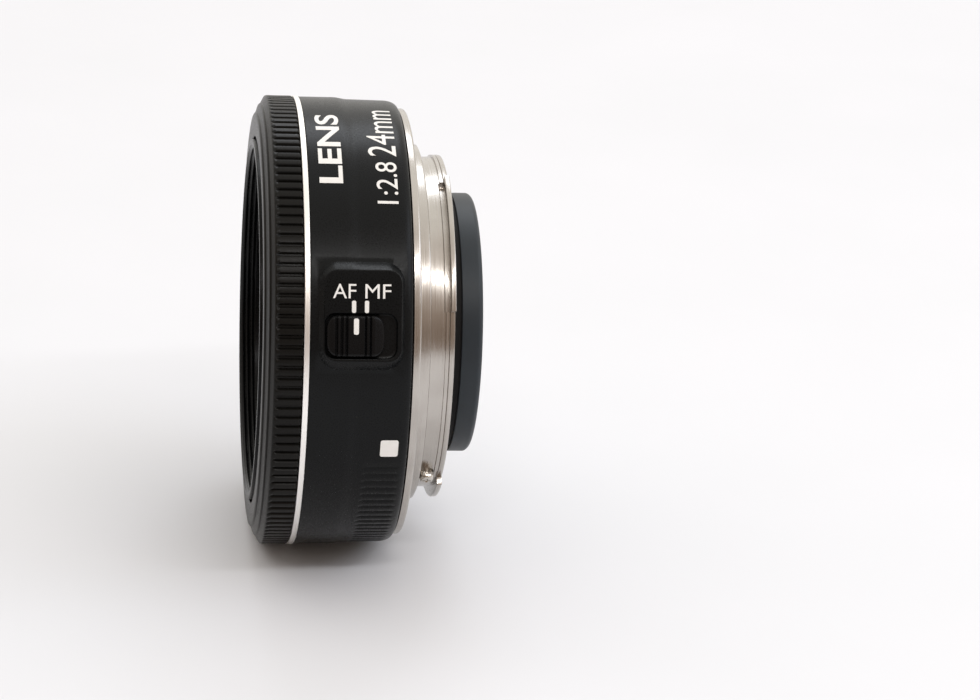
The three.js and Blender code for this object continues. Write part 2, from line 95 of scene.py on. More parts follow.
# %% [markdown]
# ## Surfaces from arrays of points
# A turned ring could be a profile with a Screw modifier, and a rib an array of small blocks.
# Here each surface is one grid of points computed with numpy: rows follow the profile and
# columns go round the axis, so ribs, lugs and threads are only changes of radius in that grid.
# The faces are index arithmetic on the same grid.

# %% Grids
def turn(angles, radii, places):
    """Points at x = r cos(a), y = place, z = r sin(a), for angles in degrees."""
    angles, radii, places = np.broadcast_arrays(np.radians(angles), radii, places)
    return np.stack([radii * np.cos(angles), places, radii * np.sin(angles)], axis=-1)


def grid_faces(rows, columns, close_rows=True, close_columns=True, start=0):
    """One quad for each cell of a grid of points; a closed direction joins its last to its first."""
    i = np.arange(rows if close_rows else rows - 1)[:, None]
    j = np.arange(columns if close_columns else columns - 1)[None, :]
    below, right = (i + 1) % rows, (j + 1) % columns
    corners = [i * columns + j, i * columns + right, below * columns + right, below * columns + j]
    return np.stack(np.broadcast_arrays(*corners), axis=-1) + start


def softened(outline, cut, steps=3):
    """A closed outline with its corners rounded: near a corner c, between p and q on its two
    sides, the points are (1-t)^2 p + 2t(1-t) c + t^2 q. cut is the length taken off each side."""
    outline = np.asarray(outline, float)
    cuts = np.broadcast_to(np.asarray(cut, float), len(outline))
    t = np.linspace(0, 1, steps + 1)[:, None]
    path = []
    for before, corner, after, size in zip(
        np.roll(outline, 1, 0), outline, np.roll(outline, -1, 0), cuts
    ):
        if size == 0:
            path.append(corner[None])
            continue
        arms = [before - corner, after - corner]
        lengths = [np.linalg.norm(arm) for arm in arms]
        p, q = (corner + arm * min(size / n, 0.45) for arm, n in zip(arms, lengths))
        path.append((1 - t) ** 2 * p + 2 * t * (1 - t) * corner + t**2 * q)
    return np.concatenate(path)


def held(outline, gap=0.12):
    """The outline with one more point beside each end of a long side, so that smooth shading
    bends only at the corners and leaves the side flat."""
    after = np.roll(outline, -1, 0)
    side = after - outline
    length = np.linalg.norm(side, axis=1, keepdims=True)
    near, far = outline + side * gap / length, after - side * gap / length
    long = length[:, 0] > 4 * gap
    points = np.stack([outline, near, far], axis=1)
    keep = np.stack([np.ones_like(long), long, long], axis=1)
    return points[keep]


print("grid of 3 by 4 cells closed both ways:", grid_faces(3, 4).reshape(-1, 4).shape[0], "faces")


# %% [markdown]
# ## From arrays to a finished piece
# Every piece ends the same way. Points that fall together, as at a pole or a seam, are merged,
# the faces are turned outwards by the sign of the enclosed volume, and edges sharper than an
# angle stay crisp while the rest is shaded smooth. The piece then rides on its CAD body and
# stands for the CAD nodes it refines. Its place is in its mesh, so the object stays at the origin.

# %% Finished pieces
CRISP = np.radians(38)


def make(name, points, faces, finish, body="root", nodes=(), slot=None):
    """A piece from points in millimetres and index faces, joined to its body and its nodes."""
    mesh = bpy.data.meshes.new(name)
    flat = np.asarray(points, float).reshape(-1, 3) * MM
    mesh.from_pydata(flat, [], np.asarray(faces).reshape(-1, 4))
    return settle(name, mesh, finish, body, nodes)


def settle(name, mesh, finish, body="root", nodes=()):
    """Closes and turns a mesh the right way round, and hands it to the frame as a piece."""
    work = bmesh.new()
    work.from_mesh(mesh)
    bmesh.ops.remove_doubles(work, verts=work.verts, dist=2e-7)
    bmesh.ops.dissolve_degenerate(work, edges=work.edges, dist=1e-8)
    if work.calc_volume(signed=True) < 0:
        bmesh.ops.reverse_faces(work, faces=work.faces)
    work.to_mesh(mesh)
    work.free()
    mesh.shade_smooth()
    mesh.set_sharp_from_angle(angle=CRISP)
    mesh.materials.append(finish)
    piece = bpy.data.objects.new(name, mesh)
    bpy.context.scene.collection.objects.link(piece)
    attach(piece, body)
    if nodes:
        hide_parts(*nodes)
    return piece


def turned(name, outline, finish, columns=192, **where):
    """A ring: the closed outline of [radius, place] carried once round the axis."""
    outline = held(np.asarray(outline, float))
    angles = np.linspace(0, 360, columns, endpoint=False)
    points = turn(angles[None, :], outline[:, :1], outline[:, 1:])
    return make(name, points, grid_faces(len(outline), columns), finish, **where)


print("pieces keep edges over", round(float(np.degrees(CRISP))), "degrees crisp")


# %% [markdown]
# ## Colours and shader nodes
# Hex colours are sRGB, as a colour picker shows them, and shaders work in linear light, so one
# function converts them. Another adds a shader node with its settings and links, so that each
# material reads as a recipe. A colour Mix node has its two colours at sockets 6 and 7, and a
# Map Range node maps one range of values onto another in a straight line.

# %% Colour and nodes
def linear(code):
    """Linear RGBA of an sRGB hex colour: c/12.92 below 0.04045, else ((c+0.055)/1.055)^2.4."""
    c = np.array([int(code[i : i + 2], 16) for i in (1, 3, 5)]) / 255
    lit = np.where(c <= 0.04045, c / 12.92, ((c + 0.055) / 1.055) ** 2.4)
    return (*(float(x) for x in lit), 1.0)


def add(tree, kind, inputs=None, **settings):
    """Adds a node; each input is a constant, a hex colour, or an output socket to link from."""
    made = tree.nodes.new(kind)
    for key, value in settings.items():
        setattr(made, key, value)
    for key, value in (inputs or {}).items():
        if isinstance(value, bpy.types.NodeSocket):
            tree.links.new(value, made.inputs[key])
        else:
            made.inputs[key].default_value = linear(value) if isinstance(value, str) else value
    return made


def begin(name):
    """A new material with no nodes yet, and its node tree."""
    material = bpy.data.materials.new(name)
    material.use_nodes = True
    material.node_tree.nodes.clear()
    return material, material.node_tree


def shade(tree, inputs):
    """Ends a recipe: a Principled surface with these inputs, linked to the output."""
    surface = add(tree, "ShaderNodeBsdfPrincipled", inputs)
    add(tree, "ShaderNodeOutputMaterial", {"Surface": surface.outputs[0]})


def per_metre(size_mm):
    """The texture scale that makes one feature about size_mm across."""
    return 1 / (size_mm * MM)


print("white in linear light:", linear("#ffffff")[:3])


# %% [markdown]
# ## Moulded polycarbonate
# The barrel, the focus ring and the switch are glass-filled polycarbonate, moulded in a
# spark-eroded tool. That leaves a grain of about 0.1 mm and a satin surface. A flat dark grey
# would look like paper, so the recipe has three layers: a slow cloud that shifts the black a
# little, as handling does, a grain in the bump, and a roughness that follows the grain. The
# grain is drawn at 0.22 mm, a little coarse, so that it shows at all.

# %% Moulded polycarbonate
MIDDLE = {"From Min": 0.3, "From Max": 0.7}  # where most of a noise's values lie
CLOUD_MM, DUST_MM = 9, 2.6


def moulded(name, dark, light, roughness, grain_mm=0.22, specular=0.15):
    """Black plastic: two near colours in clouds, a moulded grain and a few dust specks."""
    material, tree = begin(name)
    at = add(tree, "ShaderNodeTexCoord").outputs["Object"]
    pores = {"Vector": at, "Scale": per_metre(grain_mm), "Detail": 2.0}
    grain = add(tree, "ShaderNodeTexNoise", pores).outputs[0]
    patches = {"Vector": at, "Scale": per_metre(CLOUD_MM), "Detail": 3.0}
    cloud = add(tree, "ShaderNodeTexNoise", patches).outputs[0]
    plastic = add(tree, "ShaderNodeMix", {"Factor": cloud, 6: dark, 7: light}, data_type="RGBA").outputs[2]
    specks = add(tree, "ShaderNodeTexVoronoi", {"Vector": at, "Scale": per_metre(DUST_MM)})
    near = {"From Min": 0.02, "From Max": 0.035, "To Min": 0.3, "To Max": 0.0}
    near["Value"] = specks.outputs["Distance"]
    dust = {"Factor": add(tree, "ShaderNodeMapRange", near).outputs[0], 6: plastic, 7: "#5c5954"}
    gloss = {"To Min": roughness - 0.06, "To Max": roughness + 0.08}
    lift = {"Height": grain, "Strength": 0.25, "Distance": 0.012 * MM}
    shade(
        tree,
        {
            "Base Color": add(tree, "ShaderNodeMix", dust, data_type="RGBA").outputs[2],
            "Roughness": add(tree, "ShaderNodeMapRange", {"Value": grain, **MIDDLE, **gloss}).outputs[0],
            "Specular IOR Level": specular,
            "Normal": add(tree, "ShaderNodeBump", lift).outputs[0],
        },
    )
    return material


barrel_black = moulded("moulded_polycarbonate_barrel", "#0a0b0c", "#0f1112", 0.29)
ring_black = moulded("moulded_polycarbonate_ring", "#0e0d0c", "#141310", 0.32)
knob_black = moulded("moulded_polycarbonate_switch", "#0a0a0b", "#0f0f10", 0.25, grain_mm=0.16)
inner_grey = moulded("glass_filled_polycarbonate", "#4b4e52", "#5a5d61", 0.55)
print("plastics:", barrel_black.name, ring_black.name, knob_black.name, inner_grey.name)


# %% [markdown]
# ## Turned and plated metal
# The bayonet is stainless steel, faced and turned on a lathe: a tool that advances about
# 0.05 mm each turn leaves rings too fine to see one by one, but they spread the highlight. An
# anisotropic shader could do this, but it has to be told a direction everywhere. The rings are
# real instead: noise stretched round the axis, read from the radius and the place along Y, drives the
# bump and the roughness. The rings are drawn 0.14 mm wide, coarse enough to show.

# %% Turned metal
STAIN_MM, PIT_MM = 6, 3.4


def turned_metal(name, colour, stain, roughness, ring_mm=0.14, depth_mm=0.004, stain_amount=0.35):
    """Metal with tool rings: noise over (radius, place, a little of the angle)."""
    material, tree = begin(name)
    at = add(tree, "ShaderNodeTexCoord").outputs["Object"]
    x, y, z = add(tree, "ShaderNodeSeparateXYZ", {"Vector": at}).outputs
    across = add(tree, "ShaderNodeCombineXYZ", {"X": x, "Y": z}).outputs[0]
    radius = add(tree, "ShaderNodeVectorMath", {"Vector": across}, operation="LENGTH").outputs["Value"]
    angle = add(tree, "ShaderNodeMath", {0: z, 1: x}, operation="ARCTAN2").outputs[0]
    slow = add(tree, "ShaderNodeMath", {0: angle, 1: ring_mm * MM * 0.9}, operation="MULTIPLY").outputs[0]
    along = add(tree, "ShaderNodeCombineXYZ", {"X": radius, "Y": y, "Z": slow}).outputs[0]
    tool = {"Vector": along, "Scale": per_metre(ring_mm), "Detail": 3.0}
    rings = add(tree, "ShaderNodeTexNoise", tool).outputs[0]
    patches = {"Vector": at, "Scale": per_metre(STAIN_MM), "Detail": 4.0}
    cloud = add(tree, "ShaderNodeTexNoise", patches).outputs[0]
    wear = {"Value": cloud, "From Min": 0.42, "From Max": 0.75, "To Max": stain_amount}
    worn = add(tree, "ShaderNodeMapRange", wear).outputs[0]
    specks = add(tree, "ShaderNodeTexVoronoi", {"Vector": at, "Scale": per_metre(PIT_MM)})
    pits = {"From Min": 0.012, "From Max": 0.03, "To Min": 0.7, "To Max": 0.0}
    pits["Value"] = specks.outputs["Distance"]
    pitted = add(tree, "ShaderNodeMapRange", pits).outputs[0]
    marked = add(tree, "ShaderNodeMath", {0: worn, 1: pitted}, operation="MAXIMUM").outputs[0]
    metal = {"Factor": marked, 6: colour, 7: stain}
    gloss = {"To Min": roughness - 0.05, "To Max": roughness + 0.09}
    lift = {"Height": rings, "Strength": 0.6, "Distance": depth_mm * MM}
    shade(
        tree,
        {
            "Base Color": add(tree, "ShaderNodeMix", metal, data_type="RGBA").outputs[2],
            "Metallic": 1.0,
            "Roughness": add(tree, "ShaderNodeMapRange", {"Value": rings, **MIDDLE, **gloss}).outputs[0],
            "Normal": add(tree, "ShaderNodeBump", lift).outputs[0],
        },
    )
    return material


stainless = turned_metal("turned_stainless_steel", "#bfbab4", "#928b83", 0.21, depth_mm=0.003)
trim_silver = turned_metal(
    "clear_anodised_aluminium", "#fdfbf7", "#f1ece4", 0.34, ring_mm=0.1, depth_mm=0.002
)
bright_screw = turned_metal("nickel_plated_steel", "#d0ccc5", "#a59f96", 0.18, ring_mm=0.3)
gold_plate = turned_metal("gold_plated_bronze", "#f2c667", "#c99a3f", 0.2, ring_mm=0.3)
machined_brass = turned_metal("machined_brass", "#d9b566", "#a98643", 0.28)
motor_steel = turned_metal("drawn_motor_steel", "#bdbab4", "#8f8b85", 0.3)
blade_steel = turned_metal("blackened_spring_steel", "#2a2a2d", "#1c1c1e", 0.42)
print("metals:", stainless.name, trim_silver.name, bright_screw.name, gold_plate.name)


# %% [markdown]
# ## Flat black, rubber, ink and lacquer
# Inside a lens every wall is dyed, rough black plastic, so that stray light dies on it. The
# ring at the very back is a moulded rubber buffer, blue-grey with a fine dusty stipple. The
# white figures are pad-printed ink, slightly uneven because the pad lifts off soft. One recipe
# serves them all: two colours, a roughness, and a bump of a given size.

# %% Matt finishes
def matt(name, dark, light, roughness, patch_mm, stipple_mm, depth_mm, specular=0.4, sheen=0.0):
    """A matt surface: two colours in patches, and a stipple that is only bump."""
    material, tree = begin(name)
    at = add(tree, "ShaderNodeTexCoord").outputs["Object"]
    pores = {"Vector": at, "Scale": per_metre(stipple_mm), "Detail": 2.0}
    stipple = add(tree, "ShaderNodeTexNoise", pores).outputs[0]
    patches = {"Vector": at, "Scale": per_metre(patch_mm), "Detail": 4.0}
    cloud = add(tree, "ShaderNodeTexNoise", patches).outputs[0]
    dyed = add(tree, "ShaderNodeMix", {"Factor": cloud, 6: dark, 7: light}, data_type="RGBA")
    lift = {"Height": stipple, "Strength": 0.5, "Distance": depth_mm * MM}
    shade(
        tree,
        {
            "Base Color": dyed.outputs[2],
            "Roughness": roughness,
            "Specular IOR Level": specular,
            "Sheen Weight": sheen,
            "Sheen Roughness": 0.4,
            "Normal": add(tree, "ShaderNodeBump", lift).outputs[0],
        },
    )
    return material


flat_black = matt("flat_black_plastic", "#0b0a0a", "#121111", 0.62, 5, 0.2, 0.02, specular=0.25)
rubber = matt("moulded_rubber", "#1a2126", "#242c33", 0.48, 4, 0.16, 0.02, specular=0.4, sheen=0.05)
white_ink = matt("pad_printed_ink", "#e9e8e4", "#f6f5f2", 0.45, 1.5, 0.1, 0.004)
circuit_green = matt("lacquered_circuit_board", "#14402a", "#246b41", 0.25, 1.2, 0.5, 0.02, specular=0.5)
print("matt finishes:", flat_black.name, rubber.name, white_ink.name, circuit_green.name)


# %% [markdown]
# ## Coated optical glass
# Each element is polished glass with a vapour-coated film that is a quarter of a wavelength
# thick. The film cancels green light best, so what is left of a reflection is magenta or
# violet. Ray tracing the film itself isn't needed: a clear glass with the index of optical
# glass and a tinted specular reflection shows the same thing.

# %% Coated glass
def coated_glass(name, body, film, index):
    """Clear glass whose reflections take the colour of its film."""
    material, tree = begin(name)
    shade(
        tree,
        {
            "Base Color": body,
            "Roughness": 0.0,
            "IOR": index,
            "Transmission Weight": 1.0,
            "Specular Tint": film,
        },
    )
    return material


front_glass = coated_glass("coated_crown_glass", "#f6fbfa", "#b9a2e6", 1.58)
inner_glass = coated_glass("coated_flint_glass", "#f4faf4", "#9fd9b8", 1.66)
print("glass:", front_glass.name, inner_glass.name)


# %% [markdown]
# ## The focus ring
# The ring has 144 moulded ribs, one every 2.5 degrees, between a smooth conical band at the
# front and a small chamfer beside the trim ring. The ribs could be an array of blocks on a
# plain ring, which leaves seams. Here each rib is eight columns of the grid: flat crest, soft
# shoulder, narrow groove. The groove depth falls to nothing where the ribs end.

# %% Rib law
RIB_COUNT = 144
RIB_PITCH = 360 / RIB_COUNT
RIB_PLACES = np.array([-0.42, -0.34, -0.27, 0, 0.27, 0.34, 0.42, 0.5])
RIB_DEPTHS = np.array([1, 0.4, 0.07, 0, 0.07, 0.4, 1, 1])


def rib_columns(first, count):
    """Angles of the columns of some ribs, in degrees, and how deep in the groove each one is."""
    middles = first + RIB_PITCH * np.arange(count)[:, None]
    return (middles + RIB_PITCH * RIB_PLACES).ravel(), np.tile(RIB_DEPTHS, count)


angles, depths = rib_columns(0, RIB_COUNT)
print(RIB_COUNT, "ribs,", len(angles), "columns, pitch", round(np.radians(RIB_PITCH) * RING_R, 2), "mm")

# %% Focus ring
RIBS_FROM, RIBS_TO = -20.95, -17.0
RIB_DEPTH = 0.46
SKIRT_R = 32.4
FACE_Y = RING_FRONT + 0.25  # the ring's front face lies a little behind the filter tube's end
ring_outline = np.array(
    [
        [27.9, FACE_Y + 1.15], [27.9, FACE_Y + 0.2], [28.05, FACE_Y + 0.05], [30.9, FACE_Y],
        [31.3, FACE_Y + 0.05], [31.5, FACE_Y + 0.18], [31.56, FACE_Y + 0.3], [32.55, FACE_Y + 0.66],
        [32.75, FACE_Y + 0.7], [32.86, FACE_Y + 0.8], [32.9, FACE_Y + 0.95],
        [33.75, RIBS_FROM - 0.22], [33.95, RIBS_FROM - 0.12], [RING_R - 0.04, RIBS_FROM],
        [RING_R, RIBS_FROM + 0.15], [RING_R, RIBS_FROM + 0.35], [RING_R, RIBS_FROM + 0.6],
        [RING_R, RIBS_FROM + 0.85], [RING_R, RIBS_TO - 0.4], [RING_R, RIBS_TO - 0.25],
        [RING_R - 0.1, RIBS_TO - 0.05], [RING_R - 0.22, RIBS_TO], [SKIRT_R, RIBS_TO],
        [SKIRT_R, RING_BACK], [31.5, RING_BACK], [31.5, FACE_Y + 1.15],
    ]
)
# How much of the rib depth each point of the outline takes: full between the two ends.
reach = np.interp(
    ring_outline[:, 1], [RIBS_FROM - 0.02, RIBS_FROM + 0.6, RIBS_TO - 0.02, RIBS_TO], [0, 1, 1, 1]
)
reach[ring_outline[:, 0] < RING_R - 0.3] = 0
ring_radii = ring_outline[:, :1] - RIB_DEPTH * reach[:, None] * depths[None, :]
focus_ring = make(
    "focus_ring_ribbed",
    turn(angles[None, :], ring_radii, ring_outline[:, 1:]),
    grid_faces(len(ring_outline), len(angles)),
    ring_black,
    body="focus_ring_body",
    nodes=["focus_ring"],
    slot="ring_black",
)
print("focus ring:", len(focus_ring.data.polygons), "faces")


# %% [markdown]
# ## The barrel's outer form
# The barrel is a drum that steps down by a quarter of a millimetre in a soft crease about two
# thirds of the way back, and rounds off at the rear edge. Its radius is one function of the
# place along the axis, so whatever lies on the barrel, such as printing, can ask the same
# function for its height.

# %% Barrel radius
CREASE_AT, CREASE_HALF, CREASE_DROP = -9.7, 1.0, 0.25
TAPER_LENGTH, TAPER = 6.8, 0.1
FALL_LENGTH, FALL = 1.9, 0.85


def barrel_radius(y):
    """Front radius, then a cosine step down round the crease, a slight taper, and an elliptical
    fall at the rear edge."""
    t = np.clip((np.asarray(y, float) - (CREASE_AT - CREASE_HALF)) / (2 * CREASE_HALF), 0, 1)
    stepped = BARREL_R - 0.05 - CREASE_DROP * (1 - np.cos(np.pi * t)) / 2
    taper = TAPER * np.clip((y - CREASE_AT) / TAPER_LENGTH, 0, 1)
    back = np.clip((y - (BARREL_BACK - FALL_LENGTH)) / FALL_LENGTH, 0, 1)
    return stepped - taper - FALL * (1 - np.sqrt(1 - 0.98 * back**2))


print("radius at -14, -9.7, -5 and -1.5 mm:", barrel_radius(np.array([-14, -9.7, -5, -1.5])).round(2))


# %% [markdown]
# ## The switch panel
# On the side of the barrel a flat panel stands up out of the curve, with sloped edges and a
# shallow pocket for the focus-mode switch. A boolean would leave long thin triangles round it,
# which show in the gloss. Instead a rectangular window is left out of the barrel's grid, and
# closed rings of points lead from the window's edge to the foot, up the slope, over the face
# and down into the pocket. A square's edge is pulled onto a rounded rectangle for each ring.

# %% Panel frame
PANEL_ANGLE = 21.5
PANEL_FACE = 34.6
PANEL_MIDDLE = -8.75
POCKET_FLOOR = 33.75
POCKET_MIDDLE, POCKET_ALONG = -2.9, -8.9
SWITCH_BODY = "switch_slider"


def on_panel(out, along, up):
    """Points from the panel's own frame: out from the axis, along it, and up round the barrel."""
    out, along, up = np.broadcast_arrays(out, along, up)
    c, s = np.cos(np.radians(PANEL_ANGLE)), np.sin(np.radians(PANEL_ANGLE))
    return np.stack([out * c - up * s, along, out * s + up * c], axis=-1)


def rounded(square, half, corner):
    """Pulls points of a square's edge, from -1 to 1, onto a rectangle with rounded corners: in a
    corner, the point keeps its direction from the corner's centre at the corner's radius."""
    half = np.asarray(half, float)
    wanted = square * half
    core = np.clip(wanted, corner - half, half - corner)
    arm = wanted - core
    length = np.maximum(np.linalg.norm(arm, axis=1, keepdims=True), 1e-9)
    return core + arm / length * corner


def window_edge(first_row, last_row, first_column, last_column, columns):
    """Indices round a rectangle of a grid, in the order in which its quads run."""
    j = np.arange(first_column, last_column)
    i = np.arange(first_row, last_row)
    return np.concatenate(
        [
            first_row * columns + j,
            i * columns + last_column,
            last_row * columns + j[::-1] + 1,
            (i[::-1] + 1) * columns + first_column,
        ]
    )


print("panel corner on the barrel:", on_panel(PANEL_FACE, -14, 6).round(2))

# %% Panel rings
FOOT_HALF, FOOT_CORNER = (6.15, 7.75), 2.9
SLOPE_WIDTH, CORNER_LOSS = (0.65, 1.25), 1.1
POCKET_HALF, POCKET_CORNER = (5.2, 3.22), 1.5
SLOPE_RINGS = [  # share of the way in over the slope, then of the rise
    (0.0, 0.0), (0.05, 0.03), (0.1, 0.09), (0.5, 0.5),
    (0.91, 0.93), (0.96, 0.985), (1.02, 1.0), (1.08, 1.0),
]
POCKET_RINGS = [  # how far inside the pocket's edge, and the distance from the axis
    (-0.16, PANEL_FACE), (-0.06, PANEL_FACE - 0.02), (0.0, PANEL_FACE - 0.1), (0.02, POCKET_FLOOR + 0.2),
    (0.08, POCKET_FLOOR + 0.06), (0.2, POCKET_FLOOR), (0.6, POCKET_FLOOR), (1.6, POCKET_FLOOR),
]


def panel_rings(square):
    """The rings of points between the window's edge and the middle of the pocket's floor."""
    rings = []
    for run, rise in SLOPE_RINGS:
        half = [foot - width * run for foot, width in zip(FOOT_HALF, SLOPE_WIDTH)]
        edge = rounded(square, half, FOOT_CORNER - CORNER_LOSS * run)
        along, up = PANEL_MIDDLE + 0.12 * run + edge[:, 0], edge[:, 1]
        skin = np.sqrt(barrel_radius(along) ** 2 - up**2)
        rings.append(on_panel(skin + (PANEL_FACE - skin) * rise, along, up))
    for inset, out in POCKET_RINGS:
        half = [side - inset for side in POCKET_HALF]
        edge = rounded(square, half, max(POCKET_CORNER - inset, 0.2))
        rings.append(on_panel(out, POCKET_ALONG + edge[:, 0], POCKET_MIDDLE + edge[:, 1]))
    rings.append(np.repeat(on_panel(POCKET_FLOOR, [POCKET_ALONG], [POCKET_MIDDLE]), len(square), 0))
    return np.array(rings)


print("rings round the panel:", len(SLOPE_RINGS) + len(POCKET_RINGS) + 1)

# %% [markdown]
# ## The barrel in one skin
# The grid's columns are spaced for what lies on them: wide where the drum is plain, close
# across the panel's window, and eight to a rib where fine grip ribs are moulded into the rear
# half of the lower side. The ribs have the pitch of the focus ring, but are very shallow.

# %% Main barrel
BORE_R, REAR_HOLE_R, SEAT = 32.75, 27.0, BARREL_FRONT + 0.12
WINDOW_ANGLES, WINDOW_Y = (7.2, 36.0), (-15.5, -2.2)
WINDOW_COLUMNS, WINDOW_ROWS = 42, 44
GRIP_FIRST, GRIP_COUNT, GRIP_Y, GRIP_DEPTH = -70, 21, (-7.7, -2.4), 0.14

grip_angles, grip_depths = rib_columns(GRIP_FIRST, GRIP_COUNT)
window_angles = np.linspace(*WINDOW_ANGLES, WINDOW_COLUMNS)
below = np.arange(-180, grip_angles[0] - 0.5, 1.5)
between = np.linspace(grip_angles[-1] + 0.8, WINDOW_ANGLES[0] - 0.8, 16)
above = np.arange(WINDOW_ANGLES[1] + 0.8, 179.5, 1.5)
columns = np.concatenate([below, grip_angles, between, window_angles, above])
depth = np.zeros(len(columns))
depth[len(below) : len(below) + len(grip_angles)] = grip_depths

window_rows = np.linspace(*WINDOW_Y, WINDOW_ROWS)
rear_rows = np.array([-1.95, -1.75, -1.6, -1.48, -1.39, -1.33])
outer_y = np.concatenate([[SEAT + 0.14, SEAT + 0.3], window_rows, rear_rows])
outer = np.stack([barrel_radius(outer_y), outer_y], axis=1)
front_edge = [[BORE_R, SEAT], [33.84, SEAT], [33.97, SEAT + 0.04]]
back_wall = [[32.7, BARREL_BACK], [REAR_HOLE_R, BARREL_BACK], [REAR_HOLE_R, -2.5], [BORE_R, -2.5]]
outline = np.concatenate([front_edge, outer, back_wall])
shallow = np.interp(outline[:, 1], [GRIP_Y[0], GRIP_Y[0] + 0.5, GRIP_Y[1] - 0.5, GRIP_Y[1]], [0, 1, 1, 0])
shallow[outline[:, 0] < BORE_R + 0.1] = 0
radii = outline[:, :1] - GRIP_DEPTH * shallow[:, None] * depth[None, :]
skin = turn(columns[None, :], radii, outline[:, 1:])

row0 = len(front_edge) + 2
row1 = row0 + WINDOW_ROWS - 1
col0 = int(np.argmin(abs(columns - WINDOW_ANGLES[0])))
col1 = col0 + WINDOW_COLUMNS - 1
quads = grid_faces(len(outline), len(columns))
keep = np.ones(quads.shape[:2], bool)
keep[row0:row1, col0:col1] = False
edge = window_edge(row0, row1, col0, col1, len(columns))
edge_y = outline[edge // len(columns), 1]
edge_angle = columns[edge % len(columns)]
square = np.stack(
    [
        (edge_y - np.mean(WINDOW_Y)) / (np.ptp(WINDOW_Y) / 2),
        (edge_angle - np.mean(WINDOW_ANGLES)) / (np.ptp(WINDOW_ANGLES) / 2),
    ],
    axis=1,
)
rings = np.concatenate([skin.reshape(-1, 3)[edge][None], panel_rings(square)])
patch = grid_faces(len(rings), len(edge), close_rows=False, start=skin.size // 3)
barrel = make(
    "barrel_shell",
    np.concatenate([skin.reshape(-1, 3), rings.reshape(-1, 3)]),
    np.concatenate([quads[keep], patch.reshape(-1, 4)]),
    barrel_black,
    nodes=["main_barrel"],
    slot="barrel_black",
)
print("barrel:", len(barrel.data.polygons), "faces, window edge of", len(edge), "points")


# %% [markdown]
# ## The focus-mode switch
# The slider is a low moulded block with rounded ends, fine finger grooves on both sides of a
# plain middle, and a ramp at the end towards the mount. It is a row of cross-sections: at each
# place along the slide, a width and a height. The width follows the rounded ends, the height
# follows the grooves and the ramp.

# %% Switch knob
knob_low, knob_high = ends_of("switch_knob")
KNOB_TOP = 35.1
KNOB_HALF_WIDTH = 2.92
KNOB_GROOVES = [-12.4, -11.65, -10.95, -8.25, -7.55]
GROOVE_HALF, GROOVE_DEPTH = 0.24, 0.3
RAMP_FROM, RAMP_DROP = -6.95, 0.42
END_ROUND = 1.5
middle, half_length = (knob_low + knob_high) / 2, (knob_high - knob_low) / 2

fine = np.linspace(knob_low + 0.02, knob_high - 0.02, 130)
stations = np.sort(np.concatenate([fine, [knob_low, knob_low + 0.005, knob_high - 0.005, knob_high]]))
past_round = np.maximum(abs(stations - middle) - (half_length - END_ROUND), 0)
widths = KNOB_HALF_WIDTH - END_ROUND + np.sqrt(np.maximum(END_ROUND**2 - past_round**2, 0))
groove = np.zeros_like(stations)
for centre in KNOB_GROOVES:
    share = np.clip(abs(stations - centre) / GROOVE_HALF, 0, 1)
    groove = np.maximum(groove, GROOVE_DEPTH * (1 + np.cos(np.pi * share)) / 2)
falling = RAMP_DROP * np.clip((stations - RAMP_FROM) / (knob_high - RAMP_FROM), 0, 1) ** 0.8
lead = 0.25 * np.clip((knob_low + 0.9 - stations) / 0.9, 0, 1) ** 1.5
heights = KNOB_TOP - groove - falling - lead - 0.2 * (past_round / END_ROUND) ** 4

SIDE_ROUND = 0.38
arc = np.linspace(0, np.pi / 2, 6)
side_up = np.concatenate([[0, 0], np.sin(arc) - 1]) * SIDE_ROUND
side_in = np.concatenate([[0, 0], 1 - np.cos(arc)]) * SIDE_ROUND
flat = np.linspace(1, -1, 9)[1:-1]
half_widths = widths[:, None] - side_in[None, :]
tops = heights[:, None] + side_up[None, :]
tops[:, 0] = POCKET_FLOOR + 0.12
tops[:, 1] = heights - 0.75
crown = heights[:, None] + 0.03 * (1 - flat[None, :] ** 2)
ups = np.concatenate([half_widths, (widths - SIDE_ROUND)[:, None] * flat, -half_widths[:, ::-1]], axis=1)
outs = np.concatenate([tops, crown, tops[:, ::-1]], axis=1)
sections = on_panel(outs, stations[:, None], POCKET_MIDDLE + ups)
caps = sections[[0, -1]].mean(axis=1, keepdims=True) + np.zeros_like(sections[:1])
sections = np.concatenate([caps[:1], sections, caps[1:]])
make(
    "switch_knob_grooved",
    sections,
    grid_faces(*sections.shape[:2], close_rows=False),
    knob_black,
    body=SWITCH_BODY,
    nodes=["switch_knob"],
    slot="barrel_black",
)
print("knob:", sections.shape[0], "sections of", sections.shape[1], "points")


# %% [markdown]
# ## The trim ring
# A bright ring of anodised aluminium sits between the focus ring and the barrel. It is turned,
# with a small chamfer on both edges that catches a thin line of light. Its seat in the barrel's
# front edge is a hair deep, so the two meet without a gap.

# %% Trim ring
trim_front, trim_back = BARREL_FRONT - 0.72, BARREL_FRONT + 0.1
trim_r = radius_of("trim_ring")
turned(
    "trim_ring_anodised",
    softened(
        [[BORE_R, trim_front], [trim_r, trim_front], [trim_r, trim_back], [BORE_R, trim_back]],
        [0, 0.14, 0.14, 0],
    ),
    trim_silver,
    columns=288,
    nodes=["trim_ring"],
    slot="trim_silver",
)
print("trim ring:", round(trim_back - trim_front, 2), "mm wide")


# %% [markdown]
# ## The bayonet mount
# The mount is one turned and milled piece of stainless steel: a flange that meets the camera,
# a pilot ring, a neck, and three lugs that hook behind the camera's claws. A milled groove runs
# in front of each lug. Turning and milling are both in the grid: two outlines with the same
# number of points, one for the plain sectors and one for the lug sectors, and a share between
# 0 and 1 that says which one each column takes. The screw holes and the slot for the lock pin
# are windows in the flat face, led down into the metal by rings of points.

